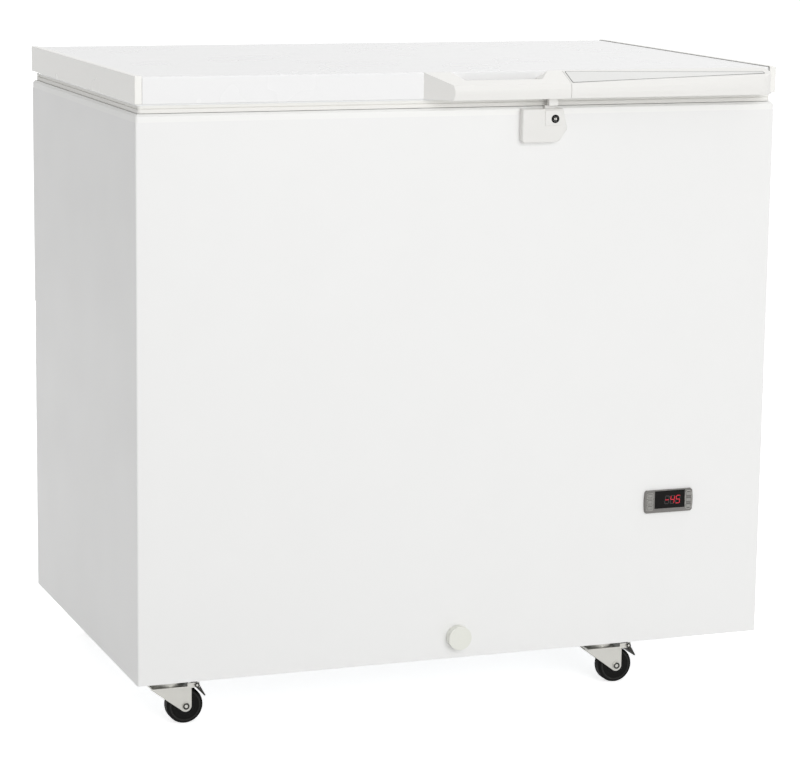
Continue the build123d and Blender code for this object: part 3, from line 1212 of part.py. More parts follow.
for caster_name, (caster_x, caster_y) in CASTERS.items():
    wheel_x = caster_x + TRAIL
    braked = caster_name.startswith("front")
    with BuildPart() as fork:
        with BuildSketch(Plane.XY.offset(CROWN_UNDER)):
            with Locations((caster_x, caster_y)):
                Rectangle(*CROWN)
        extrude(amount=FORK_SHEET)
        rod((caster_x, caster_y, CROWN_TOP), (0, 0, 1), RACE_RADIUS - 2.0, RACE_SPLIT - SEAT / 2 - CROWN_TOP)
        for leg_y in (caster_y - LEG_IN, caster_y + LEG_OUT):
            with BuildSketch(Plane.XZ.offset(-leg_y)):
                with Locations((wheel_x, WHEEL_Z)):
                    Circle(LEG_NOSE)
                panel((caster_x - CROWN_X + 2.0, wheel_x + LEG_NOSE), (CROWN_UNDER - 3.0, CROWN_UNDER + SEAT))
                make_hull()
            extrude(amount=FORK_SHEET)
        if braked:
            for ear_y in (caster_y - CROWN_Y, caster_y + CROWN_Y - FORK_SHEET):
                block(
                    (caster_x + CROWN_X - 6.0, caster_x + PEDAL_BACK + 4.0),
                    (ear_y, ear_y + FORK_SHEET),
                    (CROWN_UNDER, CROWN_UNDER + 7.0),
                )
            rod(
                (caster_x + PEDAL_BACK, caster_y - CROWN_Y - 2.0, CROWN_UNDER + 3.5),
                (0, 1, 0),
                2.0,
                CROWN[1] + 4.0,
            )
            hexagon((caster_x + PEDAL_BACK, caster_y - CROWN_Y - 2.0, CROWN_UNDER + 3.5), (0, 1, 0), 3.5, 2.0)
            hexagon((caster_x + PEDAL_BACK, caster_y + CROWN_Y, CROWN_UNDER + 3.5), (0, 1, 0), 3.5, 2.0)
        rod((caster_x, caster_y, CROWN_UNDER), (0, 0, 1), KINGPIN_RADIUS + RUNNING, RACE_SPLIT, Mode.SUBTRACT)
        rod((wheel_x, caster_y - LEG_OUT, WHEEL_Z), (0, 1, 0), AXLE_RADIUS, 2 * LEG_OUT)
        hexagon((wheel_x, caster_y - LEG_OUT - 2.0, WHEEL_Z), (0, 1, 0), AXLE_RADIUS + 1.5, 2.0)
        hexagon((wheel_x, caster_y + LEG_OUT, WHEEL_Z), (0, 1, 0), AXLE_RADIUS + 1.5, 2.0)
    save(fork, f"caster_fork_{caster_name}")

    with BuildPart() as wheel:
        rod((wheel_x, caster_y - TREAD / 2, WHEEL_Z), (0, 1, 0), WHEEL_RADIUS, TREAD)
        rod((wheel_x, caster_y - WHEEL_WIDTH / 2, WHEEL_Z), (0, 1, 0), WHEEL_RADIUS - SHOULDER, WHEEL_WIDTH)
        rod(
            (wheel_x, caster_y - WHEEL_WIDTH, WHEEL_Z), (0, 1, 0), AXLE_RADIUS + RUNNING, 2 * WHEEL_WIDTH, Mode.SUBTRACT
        )
    save(wheel, f"caster_wheel_{caster_name}")

    if braked:
        with BuildPart() as pedal:
            pedal_pin_x = caster_x + PEDAL_BACK
            pedal_pin_z = CROWN_UNDER + 3.5
            pedal_half = CROWN_Y - FORK_SHEET - SIDE
            with BuildSketch(Plane.XZ.offset(-caster_y + pedal_half)):
                with Locations((pedal_pin_x, pedal_pin_z)):
                    Circle(3.6)
                with BuildLine():
                    shoe = ThreePointArc(
                        (pedal_pin_x - 1.0, pedal_pin_z - 3.0),
                        (wheel_x + 17.0, WHEEL_Z + 21.5),
                        (wheel_x + 22.5, WHEEL_Z + 15.5),
                    )
                    Polyline(
                        shoe @ 1,
                        (wheel_x + 24.0, WHEEL_Z + 16.5),
                        (pedal_pin_x + 3.4, pedal_pin_z + 1.0),
                        shoe @ 0,
                    )
                make_face()
                with Locations((pedal_pin_x, pedal_pin_z)):
                    Circle(2.0 + RUNNING, mode=Mode.SUBTRACT)
            extrude(amount=-2 * pedal_half)
        save(pedal, f"brake_pedal_{caster_name}")
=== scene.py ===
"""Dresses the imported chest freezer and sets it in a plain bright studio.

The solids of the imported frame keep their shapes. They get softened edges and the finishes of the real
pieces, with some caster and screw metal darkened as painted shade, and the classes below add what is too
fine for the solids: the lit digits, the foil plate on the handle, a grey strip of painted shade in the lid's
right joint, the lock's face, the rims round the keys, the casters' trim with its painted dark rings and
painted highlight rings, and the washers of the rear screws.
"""

from __future__ import annotations

import json
import logging
import math
from dataclasses import dataclass, field
from enum import Enum
from typing import ClassVar

import bmesh
import bpy
from mathutils import Matrix, Vector


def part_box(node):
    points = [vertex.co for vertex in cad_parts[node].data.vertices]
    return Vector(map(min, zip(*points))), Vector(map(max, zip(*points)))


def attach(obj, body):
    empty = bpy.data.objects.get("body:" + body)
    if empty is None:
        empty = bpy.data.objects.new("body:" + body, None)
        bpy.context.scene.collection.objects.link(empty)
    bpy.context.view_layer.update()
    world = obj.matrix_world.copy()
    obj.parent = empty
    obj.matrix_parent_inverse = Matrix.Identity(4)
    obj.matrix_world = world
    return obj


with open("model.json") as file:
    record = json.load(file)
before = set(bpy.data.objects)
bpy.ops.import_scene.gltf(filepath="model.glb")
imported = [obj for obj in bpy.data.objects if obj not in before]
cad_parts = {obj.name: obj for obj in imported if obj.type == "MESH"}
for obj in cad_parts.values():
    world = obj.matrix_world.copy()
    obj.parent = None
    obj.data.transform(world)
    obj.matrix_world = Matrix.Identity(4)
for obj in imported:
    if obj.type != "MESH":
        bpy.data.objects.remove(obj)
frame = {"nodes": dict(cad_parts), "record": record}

LOG = logging.getLogger("chest_freezer")
MM = 0.001
# Corners flatter than this are shaded as one round surface
ROUND_ANGLE = math.radians(32)
# Corners sharper than this are broken, as folding and moulding leave them
BREAK_ANGLE = math.radians(35)
BREAK_STEPS = 3
WELD = 0.01 * MM
CLEAR_COAT_ROUGHNESS = 0.15
# A finish's roughness drifts between these shares of its value, as the tone drifts
ROUGHNESS_DRIFT = (0.9, 1.15)


def linear(hex_colour: str) -> tuple[float, float, float, float]:
    """Turns an sRGB hex colour to linear.

    Args:
        hex_colour: six hex digits, such as "ECEDED".

    Returns:
        Red, green, blue and an alpha of 1.
    """
    parts = [int(hex_colour[i : i + 2], 16) / 255 for i in (0, 2, 4)]
    return (*[c / 12.92 if c <= 0.04045 else ((c + 0.055) / 1.055) ** 2.4 for c in parts], 1.0)


class Grain(Enum):
    """How a surface was made, which sets its relief."""

    COATED = "powder coat"
    MOULDED = "moulded plastic"
    ZINC = "zinc coated sheet"
    STUCCO = "embossed sheet"
    DRAWN = "drawn tube"
    SOFT = "extruded rubber"
    POLISHED = "polished"
    CELLULAR = "cut foam"


@dataclass(frozen=True)
class Finish:
    """A finish as the eye sees it: its colour, its gloss and the grain of its making."""

    name: str
    colour: str
    grain: Grain
    roughness: float = 0.4
    metallic: float = 0.0
    coat: float = 0.0
    ior: float = 1.5
    shade: str = ""


# Polyester powder coat on steel: near white and satin, with an orange peel of about 1.5 mm
BODY_COAT = Finish("body_powder_coat", "EFEFEE", Grain.COATED, 0.4, shade="EDEDEC")
LID_COAT = Finish("lid_powder_coat", "EFEFEF", Grain.COATED, 0.26, shade="EDEDED")
# White ABS: a little warmer than the paint, with a fine etched skin that keeps it soft
WHITE_ABS = Finish("white_abs", "F5F4F1", Grain.MOULDED, 0.42, shade="F3F2EF")
CAP_MOULDING = Finish("lid_cap_abs", "F2F1ED", Grain.MOULDED, 0.26, ior=1.6, shade="F0EFEB")
LOCK_ABS = Finish("lock_abs", "E6E5E2", Grain.MOULDED, 0.42, shade="E4E3E0")
HANDLE_ABS = Finish("handle_abs", "EBEAE7", Grain.MOULDED, 0.42, shade="E9E8E5")
FRAME_ABS = Finish("frame_abs", "F3F3F1", Grain.MOULDED, 0.4, shade="F1F1EF")
CAP_ABS = Finish("cap_abs", "E6E7DF", Grain.MOULDED, 0.42, shade="E4E5DD")
LINER_ABS = Finish("thermoformed_liner", "EDEEEE", Grain.MOULDED, 0.3, shade="E9EAEA")
# The controller's mouldings: mid greys, so that frame, keys and rims read apart
BEZEL_ABS = Finish("bezel_abs", "757370", Grain.MOULDED, 0.5, shade="716F6C")
KEY_CAP = Finish("key_silicone", "92918D", Grain.MOULDED, 0.5, shade="8E8D89")
KEY_RIM = Finish("key_rim_abs", "B2B1AC", Grain.MOULDED, 0.5, shade="AEADA8")
# Black and grey mouldings: deep, with next to no gloss
BLACK_ABS = Finish("black_abs", "080809", Grain.MOULDED, 0.5, ior=1.22, shade="0D0D0E")
GREY_PVC = Finish("grey_pvc", "9A9B9B", Grain.MOULDED, 0.45, shade="949595")
# Hot-dip galvanised sheet: cool grey with spangles
ZINC_SHEET = Finish("galvanised_sheet", "B4B7B8", Grain.ZINC, 0.42, metallic=0.85, shade="A4A7A9")
# Bright zinc plate on pressed steel: even, a little warm, with soft reflections. The caster plates, caster
# bolts and rear screws get it in a darker grey, as painted shade and painted dark reflection
ZINC_PLATE = Finish("bright_zinc_plate", "BAB9B4", Grain.DRAWN, 0.34, metallic=0.9, shade="B2B1AC")
ZINC_PAINTED_SHADE = Finish("zinc_painted_shade", "7A7A77", Grain.DRAWN, 0.26, metallic=1.0, shade="727270")
# Near-black steel as painted dark reflection and painted shade: the dark line of the brake levers and of the
# rings on the heads
STEEL_PAINTED_DARK_REFLECTION = Finish("steel_painted_dark_reflection", "3C3C3A", Grain.DRAWN, 0.34, metallic=1.0, shade="343432")
# Aluminium and copper: the liner's pebbled sheet, and plain drawn tube
STUCCO_SHEET = Finish("embossed_aluminium", "E6E7E8", Grain.STUCCO, 0.42, metallic=0.55, shade="DDDEE0")
COPPER_TUBE = Finish("drawn_copper", "B4724A", Grain.DRAWN, 0.3, metallic=1.0, shade="A0643F")
ALUMINIUM_TUBE = Finish("drawn_aluminium", "C9CBCD", Grain.DRAWN, 0.35, metallic=1.0, shade="BDC0C2")
# Baked enamel, polished nickel and smoked acrylic: the few glossy pieces
BLACK_ENAMEL = Finish("black_enamel", "121315", Grain.COATED, 0.3, coat=0.3, shade="17181A")
NICKEL = Finish("polished_nickel", "D4D3CF", Grain.POLISHED, 0.18, metallic=1.0, shade="CCCBC7")
SMOKED_WINDOW = Finish("smoked_acrylic", "050403", Grain.POLISHED, 0.2, ior=1.22, shade="080706")
# Extruded PVC seal: matt and white under the lid. The grey strip in the cap's joint is painted shade, a dark
# strip that stands for the joint's shadow line
SEAL_PVC = Finish("extruded_seal", "F0EFEB", Grain.SOFT, 0.55, shade="ECEBE7")
JOINT_PAINTED_SHADE = Finish("joint_painted_shade", "7E7E7B", Grain.SOFT, 0.55, shade="7A7A77")
# Rubber: near black. The paler ring on the wheel's side is a painted highlight
BLACK_RUBBER = Finish("black_rubber", "070706", Grain.SOFT, 0.6, ior=1.22, shade="0D0D0C")
RUBBER_PAINTED_HIGHLIGHT = Finish("rubber_painted_highlight", "161615", Grain.SOFT, 0.45, ior=1.3, shade="1E1E1C")
# Foamed polyurethane: dull yellow, open where it was cut
YELLOW_FOAM = Finish("polyurethane_foam", "E3D29A", Grain.CELLULAR, 0.9, shade="D2BE82")
# Polyester foil with a printed rule round it, left bare
PLATE_FOIL = Finish("plate_foil", "DEDEDC", Grain.POLISHED, 0.34, shade="DCDCDA")
PRINTED_RULE = Finish("printed_rule", "5E5F5E", Grain.MOULDED, 0.5, shade="5A5B5A")

SLOT_FINISHES = {
    "body_paint": BODY_COAT,
    "lid_paint": LID_COAT,
    "zinc_sheet": ZINC_SHEET,
    "frame_plastic": FRAME_ABS,
    "liner_sheet": STUCCO_SHEET,
    "liner_plastic": LINER_ABS,
    "foam": YELLOW_FOAM,
    "coil_tube": ALUMINIUM_TUBE,
    "copper": COPPER_TUBE,
    "white_plastic": WHITE_ABS,
    "cream_plastic": CAP_ABS,
    "handle_plastic": HANDLE_ABS,
    "grey_plastic": GREY_PVC,
    "bezel_plastic": BEZEL_ABS,
    "key_plastic": KEY_CAP,
    "display_window": SMOKED_WINDOW,
    "black_plastic": BLACK_ABS,
    "black_paint": BLACK_ENAMEL,
    "plug_metal": NICKEL,
    "plug_rubber": BLACK_RUBBER,
    "gasket_rubber": SEAL_PVC,
    "wheel_rubber": BLACK_RUBBER,
}

# Nodes whose finish differs from the rest of their slot
NODE_FINISHES = {
    # The caster plates, caster bolts and rear screws: darker zinc, painted shade and painted dark reflection
    "caster_plates": ZINC_PAINTED_SHADE,
    "caster_bolts": ZINC_PAINTED_SHADE,
    "caster_fork": ZINC_PLATE,
    # The brake levers: near-black steel as painted dark reflection and painted shade
    "brake_": STEEL_PAINTED_DARK_REFLECTION,
    "hinge_": ZINC_PLATE,
    "rear_screws": ZINC_PAINTED_SHADE,
    "lid_cap": CAP_MOULDING,
    "lock_housing": LOCK_ABS,
}


def add_node(
    tree: bpy.types.NodeTree,
    kind: str,
    settings: dict[str, object] | None = None,
    values: dict[str, object] | None = None,
    links: dict[str, bpy.types.NodeSocket] | None = None,
) -> bpy.types.Node:
    """Adds a shader node.

    Args:
        tree: the material's or the world's node tree.
        kind: the node's type name.
        settings: properties of the node by name.
        values: values of its inputs by name or number.
        links: outputs of other nodes by the name of the input they feed.

    Returns:
        The new node.
    """
    node = tree.nodes.new(kind)
    for key, value in (settings or {}).items():
        setattr(node, key, value)
    for key, value in (values or {}).items():
        node.inputs[key].default_value = value
    for key, source in (links or {}).items():
        tree.links.new(source, node.inputs[key])
    return node


class Paintbox:
    """Makes each finish once as a material, and hands it out again."""

    def __init__(self) -> None:
        """Starts with no material made."""
        self.made: dict[str, bpy.types.Material] = {}

    def material(self, finish: Finish) -> bpy.types.Material:
        """The material of a finish.

        Args:
            finish: the finish wanted.

        Returns:
            The material, made at its first use.
        """
        if finish.name not in self.made:
            self.made[finish.name] = self.mix(finish)
        return self.made[finish.name]

    def mix(self, finish: Finish) -> bpy.types.Material:
        """Builds a finish from noise at the real grain's size.

        Args:
            finish: the finish to build.

        Returns:
            The new material.
        """
        material = bpy.data.materials.new(finish.name)
        material.use_nodes = True
        tree = material.node_tree
        tree.nodes.clear()
        place = add_node(tree, "ShaderNodeTexCoord").outputs["Object"]
        tone, relief, height = self.grain(tree, place, finish.grain)
        colour = add_node(
            tree,
            "ShaderNodeMix",
            {"data_type": "RGBA"},
            {"A": linear(finish.colour), "B": linear(finish.shade or finish.colour)},
            {"Factor": tone},
        )
        bump = add_node(
            tree,
            "ShaderNodeBump",
            values={"Strength": height[0], "Distance": height[1]},
            links={"Height": relief},
        )
        gloss = add_node(
            tree,
            "ShaderNodeMapRange",
            values={
                "To Min": finish.roughness * ROUGHNESS_DRIFT[0],
                "To Max": min(1.0, finish.roughness * ROUGHNESS_DRIFT[1]),
            },
            links={"Value": tone},
        )
        shader = add_node(
            tree,
            "ShaderNodeBsdfPrincipled",
            values={
                "Metallic": finish.metallic,
                "IOR": finish.ior,
                "Coat Weight": finish.coat,
                "Coat Roughness": CLEAR_COAT_ROUGHNESS,
            },
            links={
                "Base Color": colour.outputs["Result"],
                "Roughness": gloss.outputs["Result"],
                "Normal": bump.outputs["Normal"],
            },
        )
        add_node(tree, "ShaderNodeOutputMaterial", links={"Surface": shader.outputs["BSDF"]})
        return material

    def grain(
        self, tree: bpy.types.NodeTree, place: bpy.types.NodeSocket, grain: Grain
    ) -> tuple[bpy.types.NodeSocket, bpy.types.NodeSocket, tuple[float, float]]:
        """Builds the pattern of a grain.

        Args:
            tree: the material's node tree.
            place: the object's coordinates, in metres.
            grain: how the surface was made.

        Returns:
            The tone from 0 to 1, the relief, and the relief's strength and depth in metres.
        """
        if grain is Grain.ZINC:
            # Spangles of about 8 mm
            cells = add_node(tree, "ShaderNodeTexVoronoi", values={"Scale": 120.0}, links={"Vector": place})
            split = add_node(tree, "ShaderNodeSeparateColor", links={"Color": cells.outputs["Color"]})
            return split.outputs["Red"], cells.outputs["Distance"], (0.06, 0.1 * MM)
        if grain is Grain.STUCCO:
            # Embossed pebbles of about 5 mm
            cells = add_node(
                tree,
                "ShaderNodeTexVoronoi",
                {"feature": "SMOOTH_F1"},
                {"Scale": 200.0, "Smoothness": 0.6},
                {"Vector": place},
            )
            return cells.outputs["Distance"], cells.outputs["Distance"], (0.5, 0.4 * MM)
        size, depth = {
            Grain.COATED: (1.5, (0.05, 0.05 * MM)),
            Grain.MOULDED: (0.8, (0.06, 0.04 * MM)),
            Grain.DRAWN: (2.5, (0.05, 0.05 * MM)),
            Grain.SOFT: (1.2, (0.15, 0.08 * MM)),
            Grain.POLISHED: (6.0, (0.01, 0.02 * MM)),
            Grain.CELLULAR: (1.6, (0.6, 0.5 * MM)),
        }[grain]
        fine = add_node(
            tree,
            "ShaderNodeTexNoise",
            values={"Scale": 1 / (size * MM), "Detail": 3.0},
            links={"Vector": place},
        )
        # Slow drift of tone over a hand's breadth, as handling and curing leave it
        broad = add_node(
            tree,
            "ShaderNodeTexNoise",
            values={"Scale": 1 / (90 * MM), "Detail": 2.0},
            links={"Vector": place},
        )
        return broad.outputs["Fac"], fine.outputs["Fac"], depth


PAINTS = Paintbox()


def keep(mesh: bmesh.types.BMesh, name: str, body: str, finish: Finish) -> bpy.types.Object:
    """Turns a finished bmesh into a piece that rides on a body.

    Args:
        mesh: the shape, in metres in the row frame; it is freed.
        name: the piece's name.
        body: the body that carries it.
        finish: its finish.

    Returns:
        The new object.
    """
    bmesh.ops.recalc_face_normals(mesh, faces=mesh.faces)
    data = bpy.data.meshes.new(name)
    mesh.to_mesh(data)
    mesh.free()
    data.materials.append(PAINTS.material(finish))
    piece = bpy.data.objects.new(name, data)
    bpy.context.scene.collection.objects.link(piece)
    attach(piece, body)
    return piece


def soften(piece: bpy.types.Object, width: float) -> None:
    """Breaks a node's sharp edges, as folding and moulding leave them, and shades its rounds evenly.

    Args:
        piece: the object.
        width: the width of the broken edge, in metres, or 0 for none.
    """
    weld = piece.modifiers.new("weld", "WELD")
    weld.merge_threshold = WELD
    if width:
        bevel = piece.modifiers.new("broken_edges", "BEVEL")
        bevel.width = width
        bevel.segments = BREAK_STEPS
        bevel.limit_method = "ANGLE"
        bevel.angle_limit = BREAK_ANGLE
        bevel.miter_outer = "MITER_ARC"
    else:
        split = piece.modifiers.new("sharp_edges", "EDGE_SPLIT")
        split.split_angle = ROUND_ANGLE
    for polygon in piece.data.polygons:
        polygon.use_smooth = True
    if width:
        piece.modifiers.new("even_normals", "WEIGHTED_NORMAL")


@dataclass
class Solids:
    """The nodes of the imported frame, which keep their shapes and get their finishes."""

    broken_edges: dict[str, float] = field(
        default_factory=lambda: {
            "handle_": 1.3 * MM,
            "lid_skin": 0.7 * MM,
            "lid_cap": 0.4 * MM,
            "drain_cap": 1.6 * MM,
            "drain_outlet": 0.5 * MM,
            "lock_housing": 0.6 * MM,
            "lock_hook": 0.5 * MM,
            "controller_bezel": 0.35 * MM,
            "key_": 0.4 * MM,
            "caster_wheel": 1.2 * MM,
            "caster_fork": 0.4 * MM,
            "compressor": 1.5 * MM,
            "terminal_box": 1.5 * MM,
            "floor_plug": 0.8 * MM,
            "gasket": 0.5 * MM,
            "rear_cover": 0.3 * MM,
            "side_grille": 0.3 * MM,
            "hinge_": 0.3 * MM,
        }
    )

    def dress(self) -> None:
        """Gives every node the finish of its slot, and breaks its edges."""
        slots = {row["node"]: row["material_slot"] for row in frame["record"]["subparts"]}
        for name, node in frame["nodes"].items():
            finish = SLOT_FINISHES[slots[name]]
            finish = next((f for start, f in NODE_FINISHES.items() if name.startswith(start)), finish)
            node.data.materials.clear()
            node.data.materials.append(PAINTS.material(finish))
            soften(node, next((w for start, w in self.broken_edges.items() if name.startswith(start)), 0.0))
        LOG.info("dressed %d solids", len(frame["nodes"]))


def round_corners(mesh: bmesh.types.BMesh, radius: float, steps: int) -> None:
    """Rounds every corner of a flat plate.

    Args:
        mesh: the plate, a single face.
        radius: how far the round reaches along the sides, in metres.
        steps: how many steps each round has.
    """
    bmesh.ops.bevel(
        mesh,
        geom=mesh.verts[:],
        offset=radius,
        segments=steps,
        profile=0.5,
        affect="VERTICES",
        material=-1,
    )


def rounded_plate(width: float, height: float, radius: float) -> bmesh.types.BMesh:
    """A flat plate in x and z that faces forwards, with rounded corners.

    Args:
        width: its size along x, in metres.
        height: its size along z, in metres.
        radius: its corners' radius, in metres.

    Returns:
        The plate's mesh, centred on the origin.
    """
    mesh = bmesh.new()
    bmesh.ops.create_grid(mesh, x_segments=1, y_segments=1, size=0.5)
    bmesh.ops.scale(mesh, vec=(width, height, 1), verts=mesh.verts)
    bmesh.ops.rotate(mesh, matrix=Matrix.Rotation(math.radians(90), 3, "X"), verts=mesh.verts)
    round_corners(mesh, radius, 5)
    return mesh


def thicken(mesh: bmesh.types.BMesh, way: Vector) -> None:
    """Gives a flat plate its thickness.

    Args:
        mesh: the plate.
        way: how far and in what direction its face is drawn out, in metres.
    """
    made = bmesh.ops.extrude_face_region(mesh, geom=mesh.faces[:])
    moved = [v for v in made["geom"] if isinstance(v, bmesh.types.BMVert)]
    bmesh.ops.translate(mesh, vec=way, verts=moved)


def rim(width: float, height: float, radius: float, band: float, depth: float) -> bmesh.types.BMesh:
    """A raised rim in x and z, open in its middle.

    Args:
        width: its outer size along x, in metres.
        height: its outer size along z, in metres.
        radius: its outer corners' radius, in metres.
        band: how wide the rim is, in metres.
        depth: how far it stands out, in metres.

    Returns:
        The rim's mesh, centred on the origin.
    """
    mesh = rounded_plate(width, height, radius)
    inside = mesh.faces[:]
    bmesh.ops.inset_region(mesh, faces=inside, thickness=band, use_boundary=True, use_even_offset=True)
    bmesh.ops.delete(mesh, geom=inside, context="FACES_ONLY")
    thicken(mesh, Vector((0, -depth, 0)))
    return mesh


def turned(
    profile: list[tuple[float, float]], axis: Vector, place: Vector, steps: int
) -> bmesh.types.BMesh:
    """A closed turned shape that stands at a place.

    Args:
        profile: radius and height of its outline's points, in metres, in order round it.
        axis: the direction of its heights.
        place: where its axis starts, in metres.
        steps: how many steps the full turn has.

    Returns:
        The shape's mesh.
    """
    mesh = bmesh.new()
    points = [mesh.verts.new((radius, 0, height)) for radius, height in profile]
    edges = [mesh.edges.new((points[i - 1], points[i])) for i in range(len(points))]
    bmesh.ops.spin(
        mesh,
        geom=points + edges,
        cent=(0, 0, 0),
        axis=(0, 0, 1),
        dvec=(0, 0, 0),
        angle=math.tau,
        steps=steps,
        use_merge=True,
        use_duplicate=False,
    )
    bmesh.ops.remove_doubles(mesh, verts=mesh.verts, dist=WELD / 10)
    bmesh.ops.rotate(mesh, matrix=Vector((0, 0, 1)).rotation_difference(axis).to_matrix(), verts=mesh.verts)
    bmesh.ops.translate(mesh, vec=place, verts=mesh.verts)
    return mesh


def centre(node: str) -> Vector:
    """The middle of a node's box at rest.

    Args:
        node: the node's name.

    Returns:
        The point, in metres.
    """
    low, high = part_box(node)
    return (Vector(low) + Vector(high)) / 2


def smooth_rounds(piece: bpy.types.Object) -> None:
    """Shades a piece's rounds evenly and keeps its edges sharp.

    Args:
        piece: the object.
    """
    for polygon in piece.data.polygons:
        polygon.use_smooth = True
    split = piece.modifiers.new("sharp_edges", "EDGE_SPLIT")
    split.split_angle = ROUND_ANGLE


@dataclass
class HandlePlate:
    """The bare foil plate on the sloping top of the handle's cover, with its printed rule."""

    gap: float = 2.6 * MM
    end_gap: float = 12.0 * MM
    bulge: float = 2.0 * MM
    proud: float = 0.12 * MM
    foil: float = 0.25 * MM
    rule: float = 0.8 * MM
    left_share: tuple[float, float] = (0.1, 0.95)
    right_share: tuple[float, float] = (0.55, 0.8)
    ridge_height: float = 20.0 * MM
    ridge_rise: float = 7.0 * MM
    corner: float = 1.5 * MM

    def build(self) -> None:
        """Lays the plate on the slope and prints its rule."""
        low, high = (Vector(v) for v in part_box("handle_cover"))
        seat_y, seat_z = high.y, high.z
        ridge_y = low.y + self.bulge
        ridge_low = low.z + self.ridge_height

        def on_slope(x: float, share: float) -> Vector:
            """A point of the slope between the lid and the cover's ridge.

            Args:
                x: where it lies along the handle, in metres.
                share: how far down the slope it lies, from the lid at 0 to the ridge at 1.

            Returns:
                The point, in metres.
            """
            ridge_z = ridge_low + self.ridge_rise * (x - low.x) / (high.x - low.x)
            return Vector((x, seat_y + (ridge_y - seat_y) * share, seat_z + (ridge_z - seat_z) * share))

        left, right = low.x + self.gap, high.x - self.end_gap
        mesh = bmesh.new()
        places = [
            on_slope(left, self.left_share[0]),
            on_slope(left, self.left_share[1]),
            on_slope(right, self.right_share[1]),
            on_slope(right, self.right_share[0]),
        ]
        face = mesh.faces.new([mesh.verts.new(place) for place in places])
        mesh.normal_update()
        if face.normal.z < 0:
            face.normal_flip()
        round_corners(mesh, self.corner, 3)
        mesh.normal_update()
        up = mesh.faces[:][0].normal.copy()
        inside = mesh.faces[:]
        border = bmesh.ops.inset_region(
            mesh, faces=inside, thickness=self.rule, use_boundary=True, use_even_offset=True
        )["faces"]
        for strip in border:
            strip.material_index = 1
        thicken(mesh, up * self.foil)
        bmesh.ops.translate(mesh, vec=up * self.proud, verts=mesh.verts)
        plate = keep(mesh, "handle_plate", "lid", PLATE_FOIL)
        plate.data.materials.append(PAINTS.material(PRINTED_RULE))
        LOG.info("built the handle's plate")


@dataclass
class CapJointShade:
    """A thin grey strip of painted shade in the joint between the lid's skin and its right cap, drawing the
    joint's shadow line.
    """

    groove: float = 1.2 * MM
    thick: float = 0.5 * MM
    sunk: float = 0.6 * MM
    above: float = 0.6 * MM
    ahead: float = 0.3 * MM
    end_gap: float = 0.4 * MM

    def build(self) -> None:
        """Runs the painted shade strip over the lid's top and down its front, against the cap."""
        low, high = (Vector(v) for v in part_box("lid_skin"))
        start = high.x + self.groove - self.thick
        outline = [
            (high.y - self.end_gap, high.z + self.above),
            (low.y - self.ahead, high.z + self.above),
            (low.y - self.ahead, low.z + self.end_gap),
            (low.y + self.sunk, low.z + self.end_gap),
            (low.y + self.sunk, high.z - self.sunk),
            (high.y - self.end_gap, high.z - self.sunk),
        ]
        mesh = bmesh.new()
        mesh.faces.new([mesh.verts.new((start, y, z)) for y, z in outline])
        thicken(mesh, Vector((self.thick, 0, 0)))
        # The strip's grey is painted shade for the joint's shadow line
        keep(mesh, "lid_cap_joint_shade", "lid", JOINT_PAINTED_SHADE)
        LOG.info("built the cap's seal")


@dataclass
class LockFace:
    """The black face ring round the key way."""

    outer: float = 3.7 * MM
    inner: float = 1.9 * MM
    proud: float = 0.25 * MM
    inner_proud: float = 0.1 * MM
    chamfer: float = 0.2 * MM

    def build(self) -> None:
        """Makes the ring on the lock plug's face."""
        low, high = (Vector(v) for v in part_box("lock_plug"))
        place = Vector(((low.x + high.x) / 2, low.y, centre("lock_barrel").z))
        ring = [
            (self.inner, 0),
            (self.outer, 0),
            (self.outer - self.chamfer, self.proud),
            (self.inner, self.inner_proud),
        ]
        mesh = turned(ring, Vector((0, -1, 0)), place, 32)
        smooth_rounds(keep(mesh, "lock_face_ring", "lock_plug", BLACK_ABS))
        LOG.info("built the lock's face")


@dataclass
class KeyRims:
    """The raised rims round the controller's keys: three squares on the left, one long loop on the right."""

    square: tuple[float, float] = (9.4 * MM, 7.4 * MM)
    loop: tuple[float, float] = (9.8 * MM, 26.4 * MM)
    square_corner: float = 1.4 * MM
    loop_corner: float = 4.2 * MM
    band: float = 0.7 * MM
    depth: float = 0.3 * MM

    def build(self) -> None:
        """Makes the rims on the bezel's face."""
        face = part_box("controller_bezel")[0][1]
        for row in ("upper", "middle", "lower"):
            place = centre(f"key_left_{row}")
            mesh = rim(*self.square, self.square_corner, self.band, self.depth)
            bmesh.ops.translate(mesh, vec=(place.x, face, place.z), verts=mesh.verts)
            keep(mesh, f"key_rim_left_{row}", "cabinet", KEY_RIM)
        place = centre("key_right_middle")
        mesh = rim(*self.loop, self.loop_corner, self.band, self.depth)
        bmesh.ops.translate(mesh, vec=(place.x, face, place.z), verts=mesh.verts)
        keep(mesh, "key_rim_right", "cabinet", KEY_RIM)
        LOG.info("built the keys' rims")


